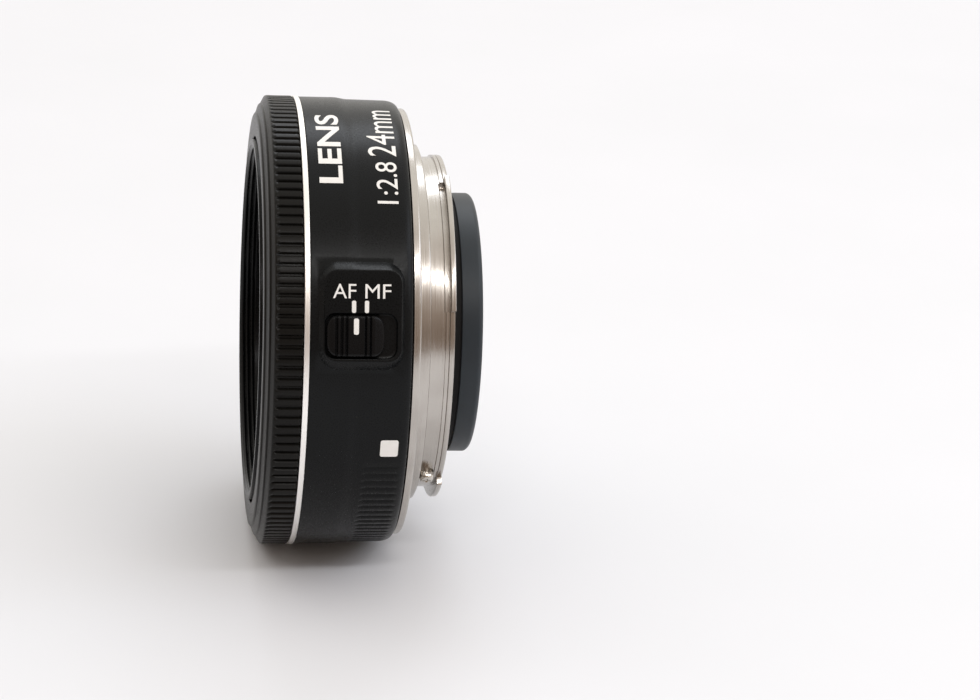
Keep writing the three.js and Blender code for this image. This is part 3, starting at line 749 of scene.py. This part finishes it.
# %% Mount outlines
BORE, PILOT_R, NECK_R, BAND_R = 23.4, 27.15, 25.25, 25.55
LUG_R, GROOVE_R = 26.8, 24.7
LUG_MIDDLES, LUG_HALF = (49, 169, 289), 25.5
FACE_ROWS = np.linspace(31.8, 27.8, 9)


def mount_outline(groove_r, lug_r):
    """The closed outline of the mount, for a groove and a lug of these radii."""
    head = [
        [BORE, FLANGE_FRONT], [32.2, FLANGE_FRONT], [32.38, FLANGE_FRONT + 0.04],
        [FLANGE_R, FLANGE_FRONT + 0.16], [FLANGE_R, -0.3], [32.44, -0.12], [32.3, -0.02], [32.15, 0],
    ]
    face = [[r, 0] for r in FACE_ROWS]
    neck = [
        [PILOT_R + 0.12, 0], [PILOT_R, 0.02], [PILOT_R, 0.15], [PILOT_R, 1.75], [PILOT_R - 0.06, 1.92],
        [PILOT_R - 0.22, 2.0], [NECK_R + 0.2, 2.0], [NECK_R + 0.04, 2.05], [NECK_R, 2.2], [NECK_R, 4.1],
        [min(NECK_R, groove_r), 4.3], [groove_r, 4.36], [groove_r, 4.5], [groove_r, 4.85],
    ]
    lug = [
        [lug_r - 0.14, 4.95], [lug_r - 0.04, 4.98], [lug_r, 5.08], [lug_r, 5.55], [lug_r - 0.04, 5.66],
        [lug_r - 0.14, LUG_BACK], [BORE + 0.3, LUG_BACK], [BORE, LUG_BACK - 0.25],
    ]
    return np.array(head + face + neck + lug)


plain, with_lug = mount_outline(BAND_R, BAND_R), mount_outline(GROOVE_R, LUG_R)
print("mount outline:", len(plain), "points")

# %% Mount columns
SCREW_CIRCLE, SCREW_ANGLES, LOCK_PIN_ANGLE = 29.8, (10, 100, 190, 280), 215
HOLES = {angle: (1.75, 0.75) for angle in SCREW_ANGLES}  # radius and depth of each sunk hole
HOLES[LOCK_PIN_ANGLE] = (1.1, 0.95)
HOLE_SPAN, HOLE_COLUMNS = 4.1, 11


def mount_columns():
    """Angles of the mount's columns, closer across holes and doubled at the ends of the lugs."""
    spans = [np.linspace(a - HOLE_SPAN, a + HOLE_SPAN, HOLE_COLUMNS) for a in HOLES]
    beside = LUG_HALF + np.array([-0.5, -0.12, 0, 0.03])
    ends = np.add.outer(LUG_MIDDLES, np.concatenate([-beside, beside])).ravel() % 360
    plain_ones = np.arange(0, 360, 1.875)
    in_hole = np.any([abs(plain_ones - a) < HOLE_SPAN + 0.4 for a in HOLES], axis=0)
    free = ~np.any([abs(ends - a) < HOLE_SPAN + 0.05 for a in HOLES], axis=0)
    return np.unique(np.round(np.concatenate([*spans, ends[free], plain_ones[~in_hole]]), 5))


mount_angles = mount_columns()
to_lug = np.min([abs((mount_angles - m + 180) % 360 - 180) for m in LUG_MIDDLES], axis=0)
lug_share = np.interp(to_lug, [LUG_HALF - 0.12, LUG_HALF, LUG_HALF + 0.03], [1, 0.88, 0])
print("mount columns:", len(mount_angles), "with lugs on", int((lug_share > 0.5).sum()))

# %% Bayonet mount
mixed = plain[:, None] * (1 - lug_share[None, :, None]) + with_lug[:, None] * lug_share[None, :, None]
steel = turn(mount_angles[None, :], mixed[..., 0], mixed[..., 1]).reshape(-1, 3)
steel_quads = grid_faces(len(plain), len(mount_angles))
steel_keep = np.ones(steel_quads.shape[:2], bool)
top_row, bottom_row = 8, 8 + len(FACE_ROWS) - 1
patches, points, count = [], [steel], len(steel)
for angle, (hole_r, hole_depth) in HOLES.items():
    first = int(np.argmin(abs(mount_angles - (angle - HOLE_SPAN))))
    last = first + HOLE_COLUMNS - 1
    steel_keep[top_row:bottom_row, first:last] = False
    rim = window_edge(top_row, bottom_row, first, last, len(mount_angles))
    across = (mount_angles[rim % len(mount_angles)] - angle) / HOLE_SPAN
    outwards = (FACE_ROWS[rim // len(mount_angles) - top_row] - SCREW_CIRCLE) / 2
    disc = rounded(np.stack([outwards, across], axis=1), (1, 1), 1)
    c, s = np.cos(np.radians(angle)), np.sin(np.radians(angle))
    lip = [(hole_r + 0.1, 0), (hole_r + 0.02, -0.02), (hole_r, -0.1)]
    steps = [*lip, (hole_r, -hole_depth), (0, -hole_depth)]
    loops = [steel[rim]]
    for r, y in steps:
        x = SCREW_CIRCLE * c + r * (disc[:, 0] * c - disc[:, 1] * s)
        z = SCREW_CIRCLE * s + r * (disc[:, 0] * s + disc[:, 1] * c)
        loops.append(np.stack([x, np.full_like(x, y), z], axis=1))
    patches.append(grid_faces(len(loops), len(rim), close_rows=False, start=count).reshape(-1, 4))
    points.append(np.concatenate(loops))
    count += len(points[-1])
make(
    "bayonet_mount_turned",
    np.concatenate(points),
    np.concatenate([steel_quads[steel_keep], *patches]),
    stainless,
    nodes=["bayonet_mount"],
    slot="mount_steel",
)
print("mount:", len(HOLES), "holes in the flange face")


# %% [markdown]
# ## Screws
# Small nickel-plated screws hold the mount, and one radial screw in the neck stops it from
# turning too far. Each head is a stack of rings round the screw's own axis: up the edge, over
# a soft shoulder, and down into a cross recess. The recess is a ring whose radius follows a
# plus sign: along each direction, the further of the two arms' edges.

# %% Screw heads
def plus_radius(angle, arm, half_width):
    """Radius of a plus sign's outline: the larger of two crossed rectangles."""
    c, s = np.abs(np.cos(angle)), np.abs(np.sin(angle))
    with np.errstate(divide="ignore"):
        lying = np.minimum(arm / c, half_width / s)
        standing = np.minimum(arm / s, half_width / c)
    return np.maximum(lying, standing)


def screw_head(name, centre, axis, across, radius, height, sink, node):
    """A head with a cross recess, on its own axis; its rings are closed at both ends."""
    angle = np.linspace(0, 2 * np.pi, 64, endpoint=False)
    ones = np.ones_like(angle)
    cross = plus_radius(angle, radius * 0.58, radius * 0.13)
    rings = [
        (0 * ones, 0), (radius * ones, 0), (radius * ones, height * 0.6),
        (radius * 0.97 * ones, height * 0.8), (radius * 0.88 * ones, height * 0.94),
        (radius * 0.72 * ones, height), (cross + 0.03, height), (cross, height - 0.03),
        (cross * 0.9, height - sink * 0.6), (cross * 0.45, height - sink), (0 * ones, height - sink),
    ]
    axis, across = Vector(axis).normalized(), Vector(across).normalized()
    third = axis.cross(across)
    points = []
    for r, h in rings:
        beside = np.asarray(centre) + np.outer(r * np.cos(angle), across)
        points.append(beside + np.outer(r * np.sin(angle), third) + h * np.asarray(axis))
    make(
        name, points, grid_faces(len(rings), len(angle), close_rows=False), bright_screw,
        nodes=[node], slot="screw_steel",
    )


for number, angle in enumerate(SCREW_ANGLES, start=1):
    place = turn(angle, SCREW_CIRCLE, -0.72)
    screw_head(
        f"mount_screw_head_{number}", place, (0, 1, 0), place * [1, 0, 1],
        radius=1.5, height=0.6, sink=0.36, node=f"mount_screw_{number}",
    )
STOP_ANGLE, STOP_Y = -42, 3.2
screw_head(
    "stop_screw_head", turn(STOP_ANGLE, NECK_R - 0.1, STOP_Y), turn(STOP_ANGLE, 1.0, 0.0), (0, 1, 0),
    radius=1.05, height=1.75, sink=0.4, node="stop_screw",
)
print("five screws")


# %% [markdown]
# ## The rear sleeve, the rubber ring and the contacts
# Behind the mount a flat black sleeve carries a rubber buffer ring and, on one side, the block
# with eight gold contacts. The sleeve's thin collar is left open where the block passes, again
# by mixing two outlines column by column. The block is one rounded section swept along an arc,
# a little smaller at its two ends, which gives it moulded edges.

# %% Sleeve and ring
CONTACT_ANGLE, CONTACT_HALF = -69, 21
SLEEVE_BORE, SLEEVE_R, COLLAR_R = 17.8, 19.4, 23.1
gap_edges = [CONTACT_ANGLE + side * (CONTACT_HALF + more) for side in (-1, 1) for more in (0.97, 1.0)]
sleeve_angles = np.unique(np.concatenate([np.arange(-180, 180, 2.0), gap_edges]))


def sleeve_outline(collar_r):
    """The closed outline of the sleeve, with a collar of this radius."""
    return np.array(
        [
            [SLEEVE_BORE, -1], [SLEEVE_R, -1], [SLEEVE_R, 0.85], [collar_r - 0.05, 0.9],
            [collar_r, 0.95], [collar_r, 1.55], [collar_r - 0.05, 1.6], [SLEEVE_R, 1.65],
            [SLEEVE_R, 7.75], [SLEEVE_R - 0.2, 7.95], [SLEEVE_BORE, 7.95],
        ]
    )


share = (abs(sleeve_angles - CONTACT_ANGLE) < CONTACT_HALF + 0.98).astype(float)
sleeve = (
    sleeve_outline(COLLAR_R)[:, None] * (1 - share[None, :, None])
    + sleeve_outline(SLEEVE_R + 0.04)[:, None] * share[None, :, None]
)
make(
    "rear_sleeve",
    turn(sleeve_angles[None, :], sleeve[..., 0], sleeve[..., 1]),
    grid_faces(sleeve.shape[0], sleeve.shape[1]),
    flat_black,
    nodes=["rear_barrel"],
    slot="flat_black",
)
buffer_front, buffer_back = ends_of("rear_rubber_ring")
buffer_r = radius_of("rear_rubber_ring")
turned(
    "rear_buffer_ring",
    softened(
        [
            [16.4, buffer_front], [19.45, buffer_front], [19.45, buffer_front - 0.65],
            [buffer_r, buffer_front - 0.65], [buffer_r, buffer_back - 0.5], [19.3, buffer_back],
            [16.9, buffer_back], [16.4, buffer_back - 0.5],
        ],
        [0, 0, 0, 0.12, 0.3, 0.3, 0.25, 0.25],
        steps=4,
    ),
    rubber,
    nodes=["rear_rubber_ring"],
    slot="rubber",
)
print("sleeve columns:", len(sleeve_angles), "buffer ring R", round(buffer_r, 2))

# %% Contacts
block_low, block_high = ends_of("contact_block")
BLOCK_R, BLOCK_HALF = 21.6, 1.4
span = CONTACT_HALF - np.array([0, 0.02, 0.12, 0.35])
along_block = np.concatenate([-span[:3], np.linspace(-span[3], span[3], 30), span[:3][::-1]])
block_angles = CONTACT_ANGLE + along_block
block_inset = np.interp(abs(block_angles - CONTACT_ANGLE), span[::-1], [0, 0.03, 0.1, 0.25])
section = softened(
    [
        [-BLOCK_HALF, block_low], [BLOCK_HALF, block_low],
        [BLOCK_HALF, block_high], [-BLOCK_HALF, block_high],
    ],
    0.25,
)
middle_y = (block_low + block_high) / 2
shrink_r = 1 - block_inset[:, None] / BLOCK_HALF
shrink_y = 1 - block_inset[:, None] / ((block_high - block_low) / 2)
block_r = BLOCK_R + section[None, :, 0] * shrink_r
block_y = middle_y + (section[None, :, 1] - middle_y) * shrink_y
block = turn(block_angles[:, None], block_r, block_y)
block_caps = np.repeat(block[[0, -1]].mean(axis=1, keepdims=True), block.shape[1], axis=1)
block = np.concatenate([block_caps[:1], block, block_caps[1:]])
make(
    "contact_carrier", block, grid_faces(*block.shape[:2], close_rows=False), flat_black,
    nodes=["contact_block"], slot="flat_black",
)
CONTACT_PITCH, CONTACT_R, PIN_R, PIN_FOOT = 4.6, 21.7, 0.72, 1.2
pin_top = ends_of("contact_pin_1")[1]
pin_profile = np.array(
    [
        [0, PIN_FOOT], [PIN_R, PIN_FOOT], [PIN_R, pin_top - 0.1], [PIN_R * 0.94, pin_top - 0.03],
        [PIN_R * 0.75, pin_top], [0, pin_top],
    ]
)
round_pin = np.radians(np.arange(0, 360, 15))
for number in range(8):
    spot = turn(CONTACT_ANGLE + (number - 3.5) * CONTACT_PITCH, CONTACT_R, 0.0)
    x = spot[0] + pin_profile[:, :1] * np.cos(round_pin)
    z = spot[2] + pin_profile[:, :1] * np.sin(round_pin)
    pin = np.stack([x, np.broadcast_to(pin_profile[:, 1:], x.shape), z], axis=-1)
    make(
        f"gold_contact_{number + 1}", pin, grid_faces(*pin.shape[:2], close_rows=False), gold_plate,
        nodes=[f"contact_pin_{number + 1}"], slot="contact_gold",
    )
print("contact block and eight pins")


# %% [markdown]
# ## The rear light baffle
# A black plate behind the last element has a window of the picture's proportions. The plate is
# four closed loops: a circle and a rounded rectangle, on the front and on the back.

# %% Rear baffle
plate_front, plate_back = ends_of("rear_baffle")
plate_r = radius_of("rear_baffle")
turn_round = np.linspace(-1, 1, 25)[:-1]
ones = np.ones_like(turn_round)
square_edge = np.concatenate(
    [
        np.stack([turn_round, -ones], 1), np.stack([ones, turn_round], 1),
        np.stack([-turn_round, ones], 1), np.stack([-ones, -turn_round], 1),
    ]
)
circle = rounded(square_edge, (plate_r, plate_r), plate_r)
opening = rounded(square_edge, (9.5, 6.5), 1.5)
wider = rounded(square_edge, (9.9, 6.9), 1.9)
loops = [
    (circle, plate_front), (circle, plate_back), (wider, plate_back),
    (opening, plate_back - 0.35), (opening, plate_front),
]
plate_points = np.array([np.stack([xz[:, 0], np.full(len(xz), y), xz[:, 1]], axis=1) for xz, y in loops])
make(
    "rear_baffle_plate", plate_points, grid_faces(*plate_points.shape[:2]), flat_black,
    nodes=["rear_baffle"], slot="flat_black",
)
print("baffle window 19 by 13 mm in a plate of", round(2 * plate_r, 1), "mm")


# %% [markdown]
# ## The filter tube
# The tube that carries the front group slides out as the lens focuses, and its front end has
# the 52 mm filter thread. The thread is a true helix: the groove's place moves on by one pitch
# for each turn, so the grid closes on itself after a whole turn without a seam.

# %% Filter tube
TUBE_R, FILTER_R, PITCH, THREAD_DEPTH = 27.4, 26.2, 0.75, 0.28
THREAD_POINTS = 44
thread_y = np.linspace(-20.4, -22.55, THREAD_POINTS)
tube_outer = softened(
    [[FILTER_R + 0.35, TUBE_FRONT], [TUBE_R, TUBE_FRONT], [TUBE_R, TUBE_BACK], [FILTER_R, TUBE_BACK]],
    [0.1, 0.2, 0, 0],
)
tube_inner = [[FILTER_R, -12.7], [12, -12.7], [12, -13.5], [FILTER_R, -13.5]]
thread = np.stack([np.full(THREAD_POINTS, FILTER_R), thread_y], axis=1)
tube_outline = np.concatenate([tube_outer, tube_inner, thread, [[FILTER_R + 0.1, TUBE_FRONT + 0.25]]])
tube_angles = np.linspace(0, 360, 180, endpoint=False)
phase = (tube_outline[:, 1:] / PITCH - tube_angles[None, :] / 360) % 1
ridge = np.clip(2.4 * abs(phase - 0.5) - 0.2, 0, 1)
threaded = np.zeros(len(tube_outline))
from_end = np.minimum(np.arange(THREAD_POINTS), np.arange(THREAD_POINTS)[::-1])
threaded[len(tube_outer) + len(tube_inner) : -1] = np.clip(from_end / 5, 0, 1)
tube_radii = tube_outline[:, :1] + THREAD_DEPTH * (ridge - 0.5) * threaded[:, None]
make(
    "filter_tube_threaded",
    turn(tube_angles[None, :], tube_radii, tube_outline[:, 1:]),
    grid_faces(len(tube_outline), len(tube_angles)),
    barrel_black,
    body="focus_group",
    nodes=["focus_barrel"],
    slot="barrel_black",
)
print("thread:", round(abs(thread_y[-1] - thread_y[0]) / PITCH, 1), "turns of", PITCH, "mm pitch")


# %% [markdown]
# ## The front: name ring, baffle cone and cells
# Behind the filter thread a flat ring carries the data of the lens, and a cone leads down to
# the small front element. The cone is stepped in fine ridges, as a record's grooves, so that
# light from outside the picture can't glance off it.

# %% Front rings
def black_ring(name, outline, node, columns=96):
    """A flat black ring of the moving group, in place of its CAD node."""
    turned(name, outline, flat_black, columns, body="focus_group", nodes=[node], slot="flat_black")


ring_front, ring_back = ends_of("name_ring")
name_ring = [[17.6, ring_back], [17.6, ring_front], [25.8, ring_front], [25.8, ring_back]]
black_ring("name_ring_flat", softened(name_ring, [0, 0.12, 0.12, 0]), "name_ring", 192)
RIDGES = 11
cone_r = np.linspace(17.2, 8.4, 2 * RIDGES + 1)
cone_y = np.interp(cone_r, [8.4, 17.2], [-17.62, -19.86])
cone_y[1::2] = cone_y[:-1:2] + 0.02
cone_back = [[8.3, -17.5], [8.3, -17.25], [8.7, -17.25], [17.25, -19.1], [17.25, -19.8]]
cone = np.concatenate([np.stack([cone_r, cone_y], 1), cone_back])
black_ring("front_baffle_stepped", cone, "front_baffle", 192)
front_cell = [[7.7, -17], [11.7, -17], [11.7, -12.7], [5.95, -12.7], [5.95, -14], [7.7, -14]]
front_retainer = [[6.8, -16.9], [7.6, -16.9], [7.6, -16.45], [6.8, -16.45]]
rear_cell = [
    [5.7, -9.1], [12.8, -9.1], [12.8, -8.3], [11, -8.3], [11, 1.6],
    [9.3, 1.6], [9.3, -2.75], [7.3, -2.75], [7.3, -4], [5.7, -4],
]
rear_retainer = [[8.4, 1], [9.2, 1], [9.2, 1.5], [8.4, 1.5]]
black_ring("front_cell_turned", softened(front_cell, 0.12), "front_cell")
black_ring("front_retaining_ring_turned", softened(front_retainer, 0.08), "front_retaining_ring")
black_ring("rear_cell_turned", softened(rear_cell, 0.12), "rear_cell")
black_ring("rear_retaining_ring_turned", softened(rear_retainer, 0.08), "rear_retaining_ring")
print("cone with", RIDGES, "ridges")


# %% [markdown]
# ## The glass
# Six elements in five groups. Each face is part of a sphere, so its depth at a radius r is
# R - sqrt(R^2 - r^2), and an element is its two faces joined at the rim. Positive radii bulge
# towards the subject. Elements 3 and 4 are a pair with a hair's gap between them.

# %% Lens elements
ELEMENTS = {  # rim radius, front vertex and radius, rear vertex and radius, in millimetres
    1: (7.4, -16.9, 40, -16.0, 16),
    2: (5.6, -14.9, 20, -13.1, -30),
    3: (5.4, -7.9, -16, -7.0, 14),
    4: (5.4, -6.94, 14, -3.4, -11),
    5: (7.0, -2.9, -30, -0.6, -12),
    6: (9.0, 0.6, -14, 1.6, -40),
}


def sphere_depth(r, radius):
    """Distance from the vertex's plane to a sphere at radius r, with the sign of its radius."""
    return np.sign(radius) * (abs(radius) - np.sqrt(radius**2 - r**2))


glass_angles = np.linspace(0, 360, 96, endpoint=False)
for number, (rim, front_y, front_curve, rear_y, rear_curve) in ELEMENTS.items():
    r = rim * np.sin(np.linspace(0, np.pi / 2, 15))
    face = np.stack([r, front_y + sphere_depth(r, front_curve)], axis=1)
    back = np.stack([r, rear_y + sphere_depth(r, rear_curve)], axis=1)[::-1]
    lathe = np.concatenate([face, back])
    make(
        f"lens_element_{number}",
        turn(glass_angles[None, :], lathe[:, :1], lathe[:, 1:]),
        grid_faces(len(lathe), len(glass_angles), close_rows=False),
        front_glass if number in (1, 6) else inner_glass,
        body="focus_group",
        nodes=[f"lens_{number}"],
        slot="glass",
    )
print(len(ELEMENTS), "elements")


# %% [markdown]
# ## Printed marks
# The marks are pad-printed: letters with almost no thickness that follow the curve under them.
# A texture could carry them, but then they would blur up close, so they are thin solids. Text
# is made flat, cut into narrow strips, and each point is then moved onto the surface: its x
# becomes an angle or a place, its height a distance from the axis. All wording is generic.

# %% Lettering
INK = 0.035


def flat_letters(text, width, height, weight=0.0, strip=0.7):
    """Closed letters centred on the origin, scaled to this width and height, cut into small
    fields both ways so that they can bend."""
    curve = bpy.data.curves.new("letters", "FONT")
    curve.body, curve.size, curve.extrude, curve.offset = text, 1.0, 0.1, weight
    curve.resolution_u = 5
    writing = bpy.data.objects.new("letters", curve)
    bpy.context.scene.collection.objects.link(writing)
    bpy.context.view_layer.update()
    mesh = bpy.data.meshes.new_from_object(writing.evaluated_get(bpy.context.evaluated_depsgraph_get()))
    bpy.data.objects.remove(writing)
    at = np.empty(len(mesh.vertices) * 3, np.float32)
    mesh.vertices.foreach_get("co", at)
    at = at.reshape(-1, 3)
    low, high = at.min(0), at.max(0)
    at = (at - (low + high) / 2) / (high - low) * [width, height, 1]
    mesh.vertices.foreach_set("co", at.astype(np.float32).ravel())
    work = bmesh.new()
    work.from_mesh(mesh)
    bmesh.ops.remove_doubles(work, verts=work.verts, dist=1e-4)
    for axis, size in ((0, width), (1, height)):
        for place in np.arange(-size / 2 + strip, size / 2, strip):
            where, facing = Vector(), Vector()
            where[axis], facing[axis] = place, 1
            parts = [*work.verts, *work.edges, *work.faces]
            bmesh.ops.bisect_plane(work, geom=parts, plane_co=where, plane_no=facing)
    work.to_mesh(mesh)
    work.free()
    return mesh


def print_on(name, mesh, surface, body="root"):
    """Moves each point of a flat mark by surface(x, y, height), and makes it a piece of ink.
    Height is negative inside the part below and a hair above its surface."""
    at = np.empty(len(mesh.vertices) * 3, np.float32)
    mesh.vertices.foreach_get("co", at)
    x, y, z = at.reshape(-1, 3).astype(float).T
    moved = surface(x, y, np.where(z > 0, INK, -0.05)) * MM
    mesh.vertices.foreach_set("co", moved.astype(np.float32).ravel())
    mesh.update()
    mesh.materials.clear()
    return settle(name, mesh, white_ink, body)


def on_barrel(angle, place):
    """Writing that reads upwards round the barrel, with its top towards the front."""
    return lambda x, y, h: turn(
        angle + np.degrees(x / BARREL_R), barrel_radius(place - y) + h, place - y
    )


def on_panel_face(out, place, up):
    """Writing that stands upright on the switch panel or its knob."""
    return lambda x, y, h: on_panel(out + h, place + x, up + y)


print_on("mark_word", flat_letters("LENS", 16.4, 3.5, weight=0.02), on_barrel(69.7, -12.8))
print_on("mark_aperture", flat_letters("1:2.8", 7.8, 3.1), on_barrel(57.0, -4.7))
print_on("mark_focal_length", flat_letters("24mm", 13.6, 4.1), on_barrel(77.2, -5.1))
print_on("mark_auto_focus", flat_letters("AF", 3.3, 2.05), on_panel_face(PANEL_FACE, -11.3, 3.5))
print_on("mark_manual_focus", flat_letters("MF", 3.7, 2.05), on_panel_face(PANEL_FACE, -6.5, 3.5))
print("words on the barrel and the panel")

# %% Bars, index square and front data
def flat_bar(width, height, corner, rows=6):
    """A flat mark with rounded corners, as closed letters are: two faces and a thin edge."""
    outer = rounded(square_edge, (width / 2, height / 2), corner)
    loops = np.array([outer * s for s in np.linspace(0, 1, rows)])
    both = np.concatenate([loops, loops[::-1]])
    level = np.concatenate([np.full(rows, 0.1), np.full(rows, -0.1)])
    points = np.concatenate([both, np.broadcast_to(level[:, None, None], (*both.shape[:2], 1))], axis=2)
    mesh = bpy.data.meshes.new("bar")
    faces = grid_faces(*points.shape[:2], close_rows=False)
    mesh.from_pydata(points.reshape(-1, 3), [], faces.reshape(-1, 4))
    return mesh


BAR = (0.6, 1.75, 0.22)
print_on("mark_bar_auto", flat_bar(*BAR), on_panel_face(PANEL_FACE, -9.94, 1.28))
print_on("mark_bar_manual", flat_bar(*BAR), on_panel_face(PANEL_FACE, -8.1, 1.28))
print_on("mark_knob", flat_bar(0.72, 2.3, 0.25), on_panel_face(KNOB_TOP + 0.02, -9.62, -1.55), SWITCH_BODY)
print_on("mark_mount_index", flat_bar(2.9, 2.6, 0.35), on_barrel(-12.8, -4.05))


def on_front(angle, radius, reads_up):
    """Writing on the flat name ring, seen from the front, with its top outwards or inwards."""
    side = 1 if reads_up else -1
    level = ends_of("name_ring")[0]
    return lambda x, y, h: turn(
        angle - side * np.degrees(x / radius), radius + side * y, level - h
    )


DATA_R = 21.7
data, thread_size = flat_letters("LENS 24mm 1:2.8", 24, 2.1), flat_letters("52mm", 7.6, 2.1)
print_on("mark_front_data", data, on_front(90, DATA_R, True), "focus_group")
print_on("mark_front_filter", thread_size, on_front(-90, DATA_R, False), "focus_group")
print("bars, index square and front data")


# %% [markdown]
# ## Finishes for the sealed parts
# The drive, the iris and the boards are inside, and are seen only with the shell taken off.
# Their CAD shapes are right, so only their finish changes: a table says which node gets what.

# %% Inner finishes
INNER = {
    inner_grey: ["guide_barrel", "cam_ring"],
    machined_brass: ["idler_gear", "motor_pinion", "aperture_pinion", "switch_wiper"]
    + [f"cam_follower_{i}" for i in (1, 2, 3)],
    motor_steel: ["focus_motor", "motor_bracket", "aperture_motor"],
    trim_silver: ["focus_scale_ring"],
    circuit_green: ["main_circuit_board", "switch_board"],
    flat_black: ["aperture_base", "aperture_cover", "aperture_drive_ring"],
    blade_steel: [f"aperture_blade_{i}" for i in range(1, 8)],
}
for finish, names in INNER.items():
    for name in names:
        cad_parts[name].data.materials.clear()
        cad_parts[name].data.materials.append(finish)
print("inner nodes:", sum(len(names) for names in INNER.values()))


# %% [markdown]
# ## Floor, light and camera
# The lens stands on its edge on a white table, in bright and very even daylight. The sky does
# most of the work: pale behind the lens and dimmer towards the viewer, which is what keeps the
# black plastic black. One soft panel high beside the mount and another high behind the lens
# stand for windows, and a narrow strip high on the viewer's side draws a line on the steel.

# %% Floor
floor_mesh = bpy.data.meshes.new("white_table")
half, level = 12.0, float(cad_low.z)
corners = [(-half, -half, level), (half, -half, level), (half, half, level), (-half, half, level)]
floor_mesh.from_pydata(corners, [], [(0, 1, 2, 3)])
floor_mesh.materials.append(matt("white_laminate", "#e4e6ea", "#eaebf0", 0.6, 60, 1.0, 0.01, specular=0.2))
floor = bpy.data.objects.new("white_table", floor_mesh)
bpy.context.scene.collection.objects.link(floor)
print("floor at", round(level / MM, 1), "mm")

# %% Sky
world = bpy.data.worlds.new("daylight")
bpy.context.scene.world = world
world.use_nodes = True
sky = world.node_tree
sky.nodes.clear()
direction = add(sky, "ShaderNodeTexCoord").outputs["Generated"]
towards = add(sky, "ShaderNodeVectorMath", {0: direction, 1: (-0.80, 0.15, 0.58)}, operation="DOT_PRODUCT")
turned_to = {"Value": towards.outputs["Value"], "From Min": -0.6, "From Max": 0.6}
share = add(sky, "ShaderNodeMapRange", turned_to).outputs[0]
brightness = add(sky, "ShaderNodeMapRange", {"Value": share, "To Min": 0.4, "To Max": 1.12}).outputs[0]
hues = {"Factor": share, 6: "#e6cbb6", 7: "#fcf9f3"}
tint = add(sky, "ShaderNodeMix", hues, data_type="RGBA").outputs[2]
day = add(sky, "ShaderNodeBackground", {"Color": tint, "Strength": brightness})
add(sky, "ShaderNodeOutputWorld", {"Surface": day.outputs[0]})
print("sky from 0.4 in front to 1.12 behind")


# %% Lamps
def panel_light(name, towards, distance, size, power, colour):
    """An area light at a distance in metres along a direction, facing the origin."""
    lamp = bpy.data.lights.new(name, "AREA")
    lamp.shape, lamp.size, lamp.size_y, lamp.energy = "RECTANGLE", size[0], size[1], power
    lamp.color = linear(colour)[:3]
    holder = bpy.data.objects.new(name, lamp)
    away = Vector(towards).normalized()
    holder.location = away * distance
    holder.rotation_euler = away.to_track_quat("Z", "Y").to_euler()
    bpy.context.scene.collection.objects.link(holder)


panel_light("window_beside", (0.33, 0.94, 0.72), 1.3, (0.8, 0.6), 3.2, "#e6efff")
panel_light("window_behind", (-0.64, 0.1, 0.76), 1.2, (0.55, 0.4), 2.2, "#f0f6ff")
panel_light("strip_in_front", (0.65, 0.13, 0.75), 1.0, (0.9, 0.025), 2.6, "#ffffff")
print("three lamps")

# %% Camera
CAMERA_AT = Vector((457.4, -50.3, 169.8)) * MM
YAW, PITCH_DOWN, ROLL = np.radians([8.05, 20.68, 3.48])
FOCAL_LENGTH, SENSOR = 117.55, 36.0
look = Vector((-np.cos(PITCH_DOWN) * np.cos(YAW), np.cos(PITCH_DOWN) * np.sin(YAW), -np.sin(PITCH_DOWN)))
level_right = look.cross(Vector((0, 0, 1))).normalized()
level_up = level_right.cross(look)
right = level_right * np.cos(ROLL) + level_up * np.sin(ROLL)
up = level_up * np.cos(ROLL) - level_right * np.sin(ROLL)
camera = bpy.data.objects.new("camera", bpy.data.cameras.new("camera"))
camera.data.lens, camera.data.sensor_width = FOCAL_LENGTH, SENSOR
camera.matrix_world = Matrix.Translation(CAMERA_AT) @ Matrix((right, up, -look)).transposed().to_4x4()
bpy.context.scene.collection.objects.link(camera)
bpy.context.scene.camera = camera
bpy.context.scene.view_settings.view_transform = "Standard"
print("camera", [round(x / MM) for x in CAMERA_AT], "mm, lens", FOCAL_LENGTH, "mm")
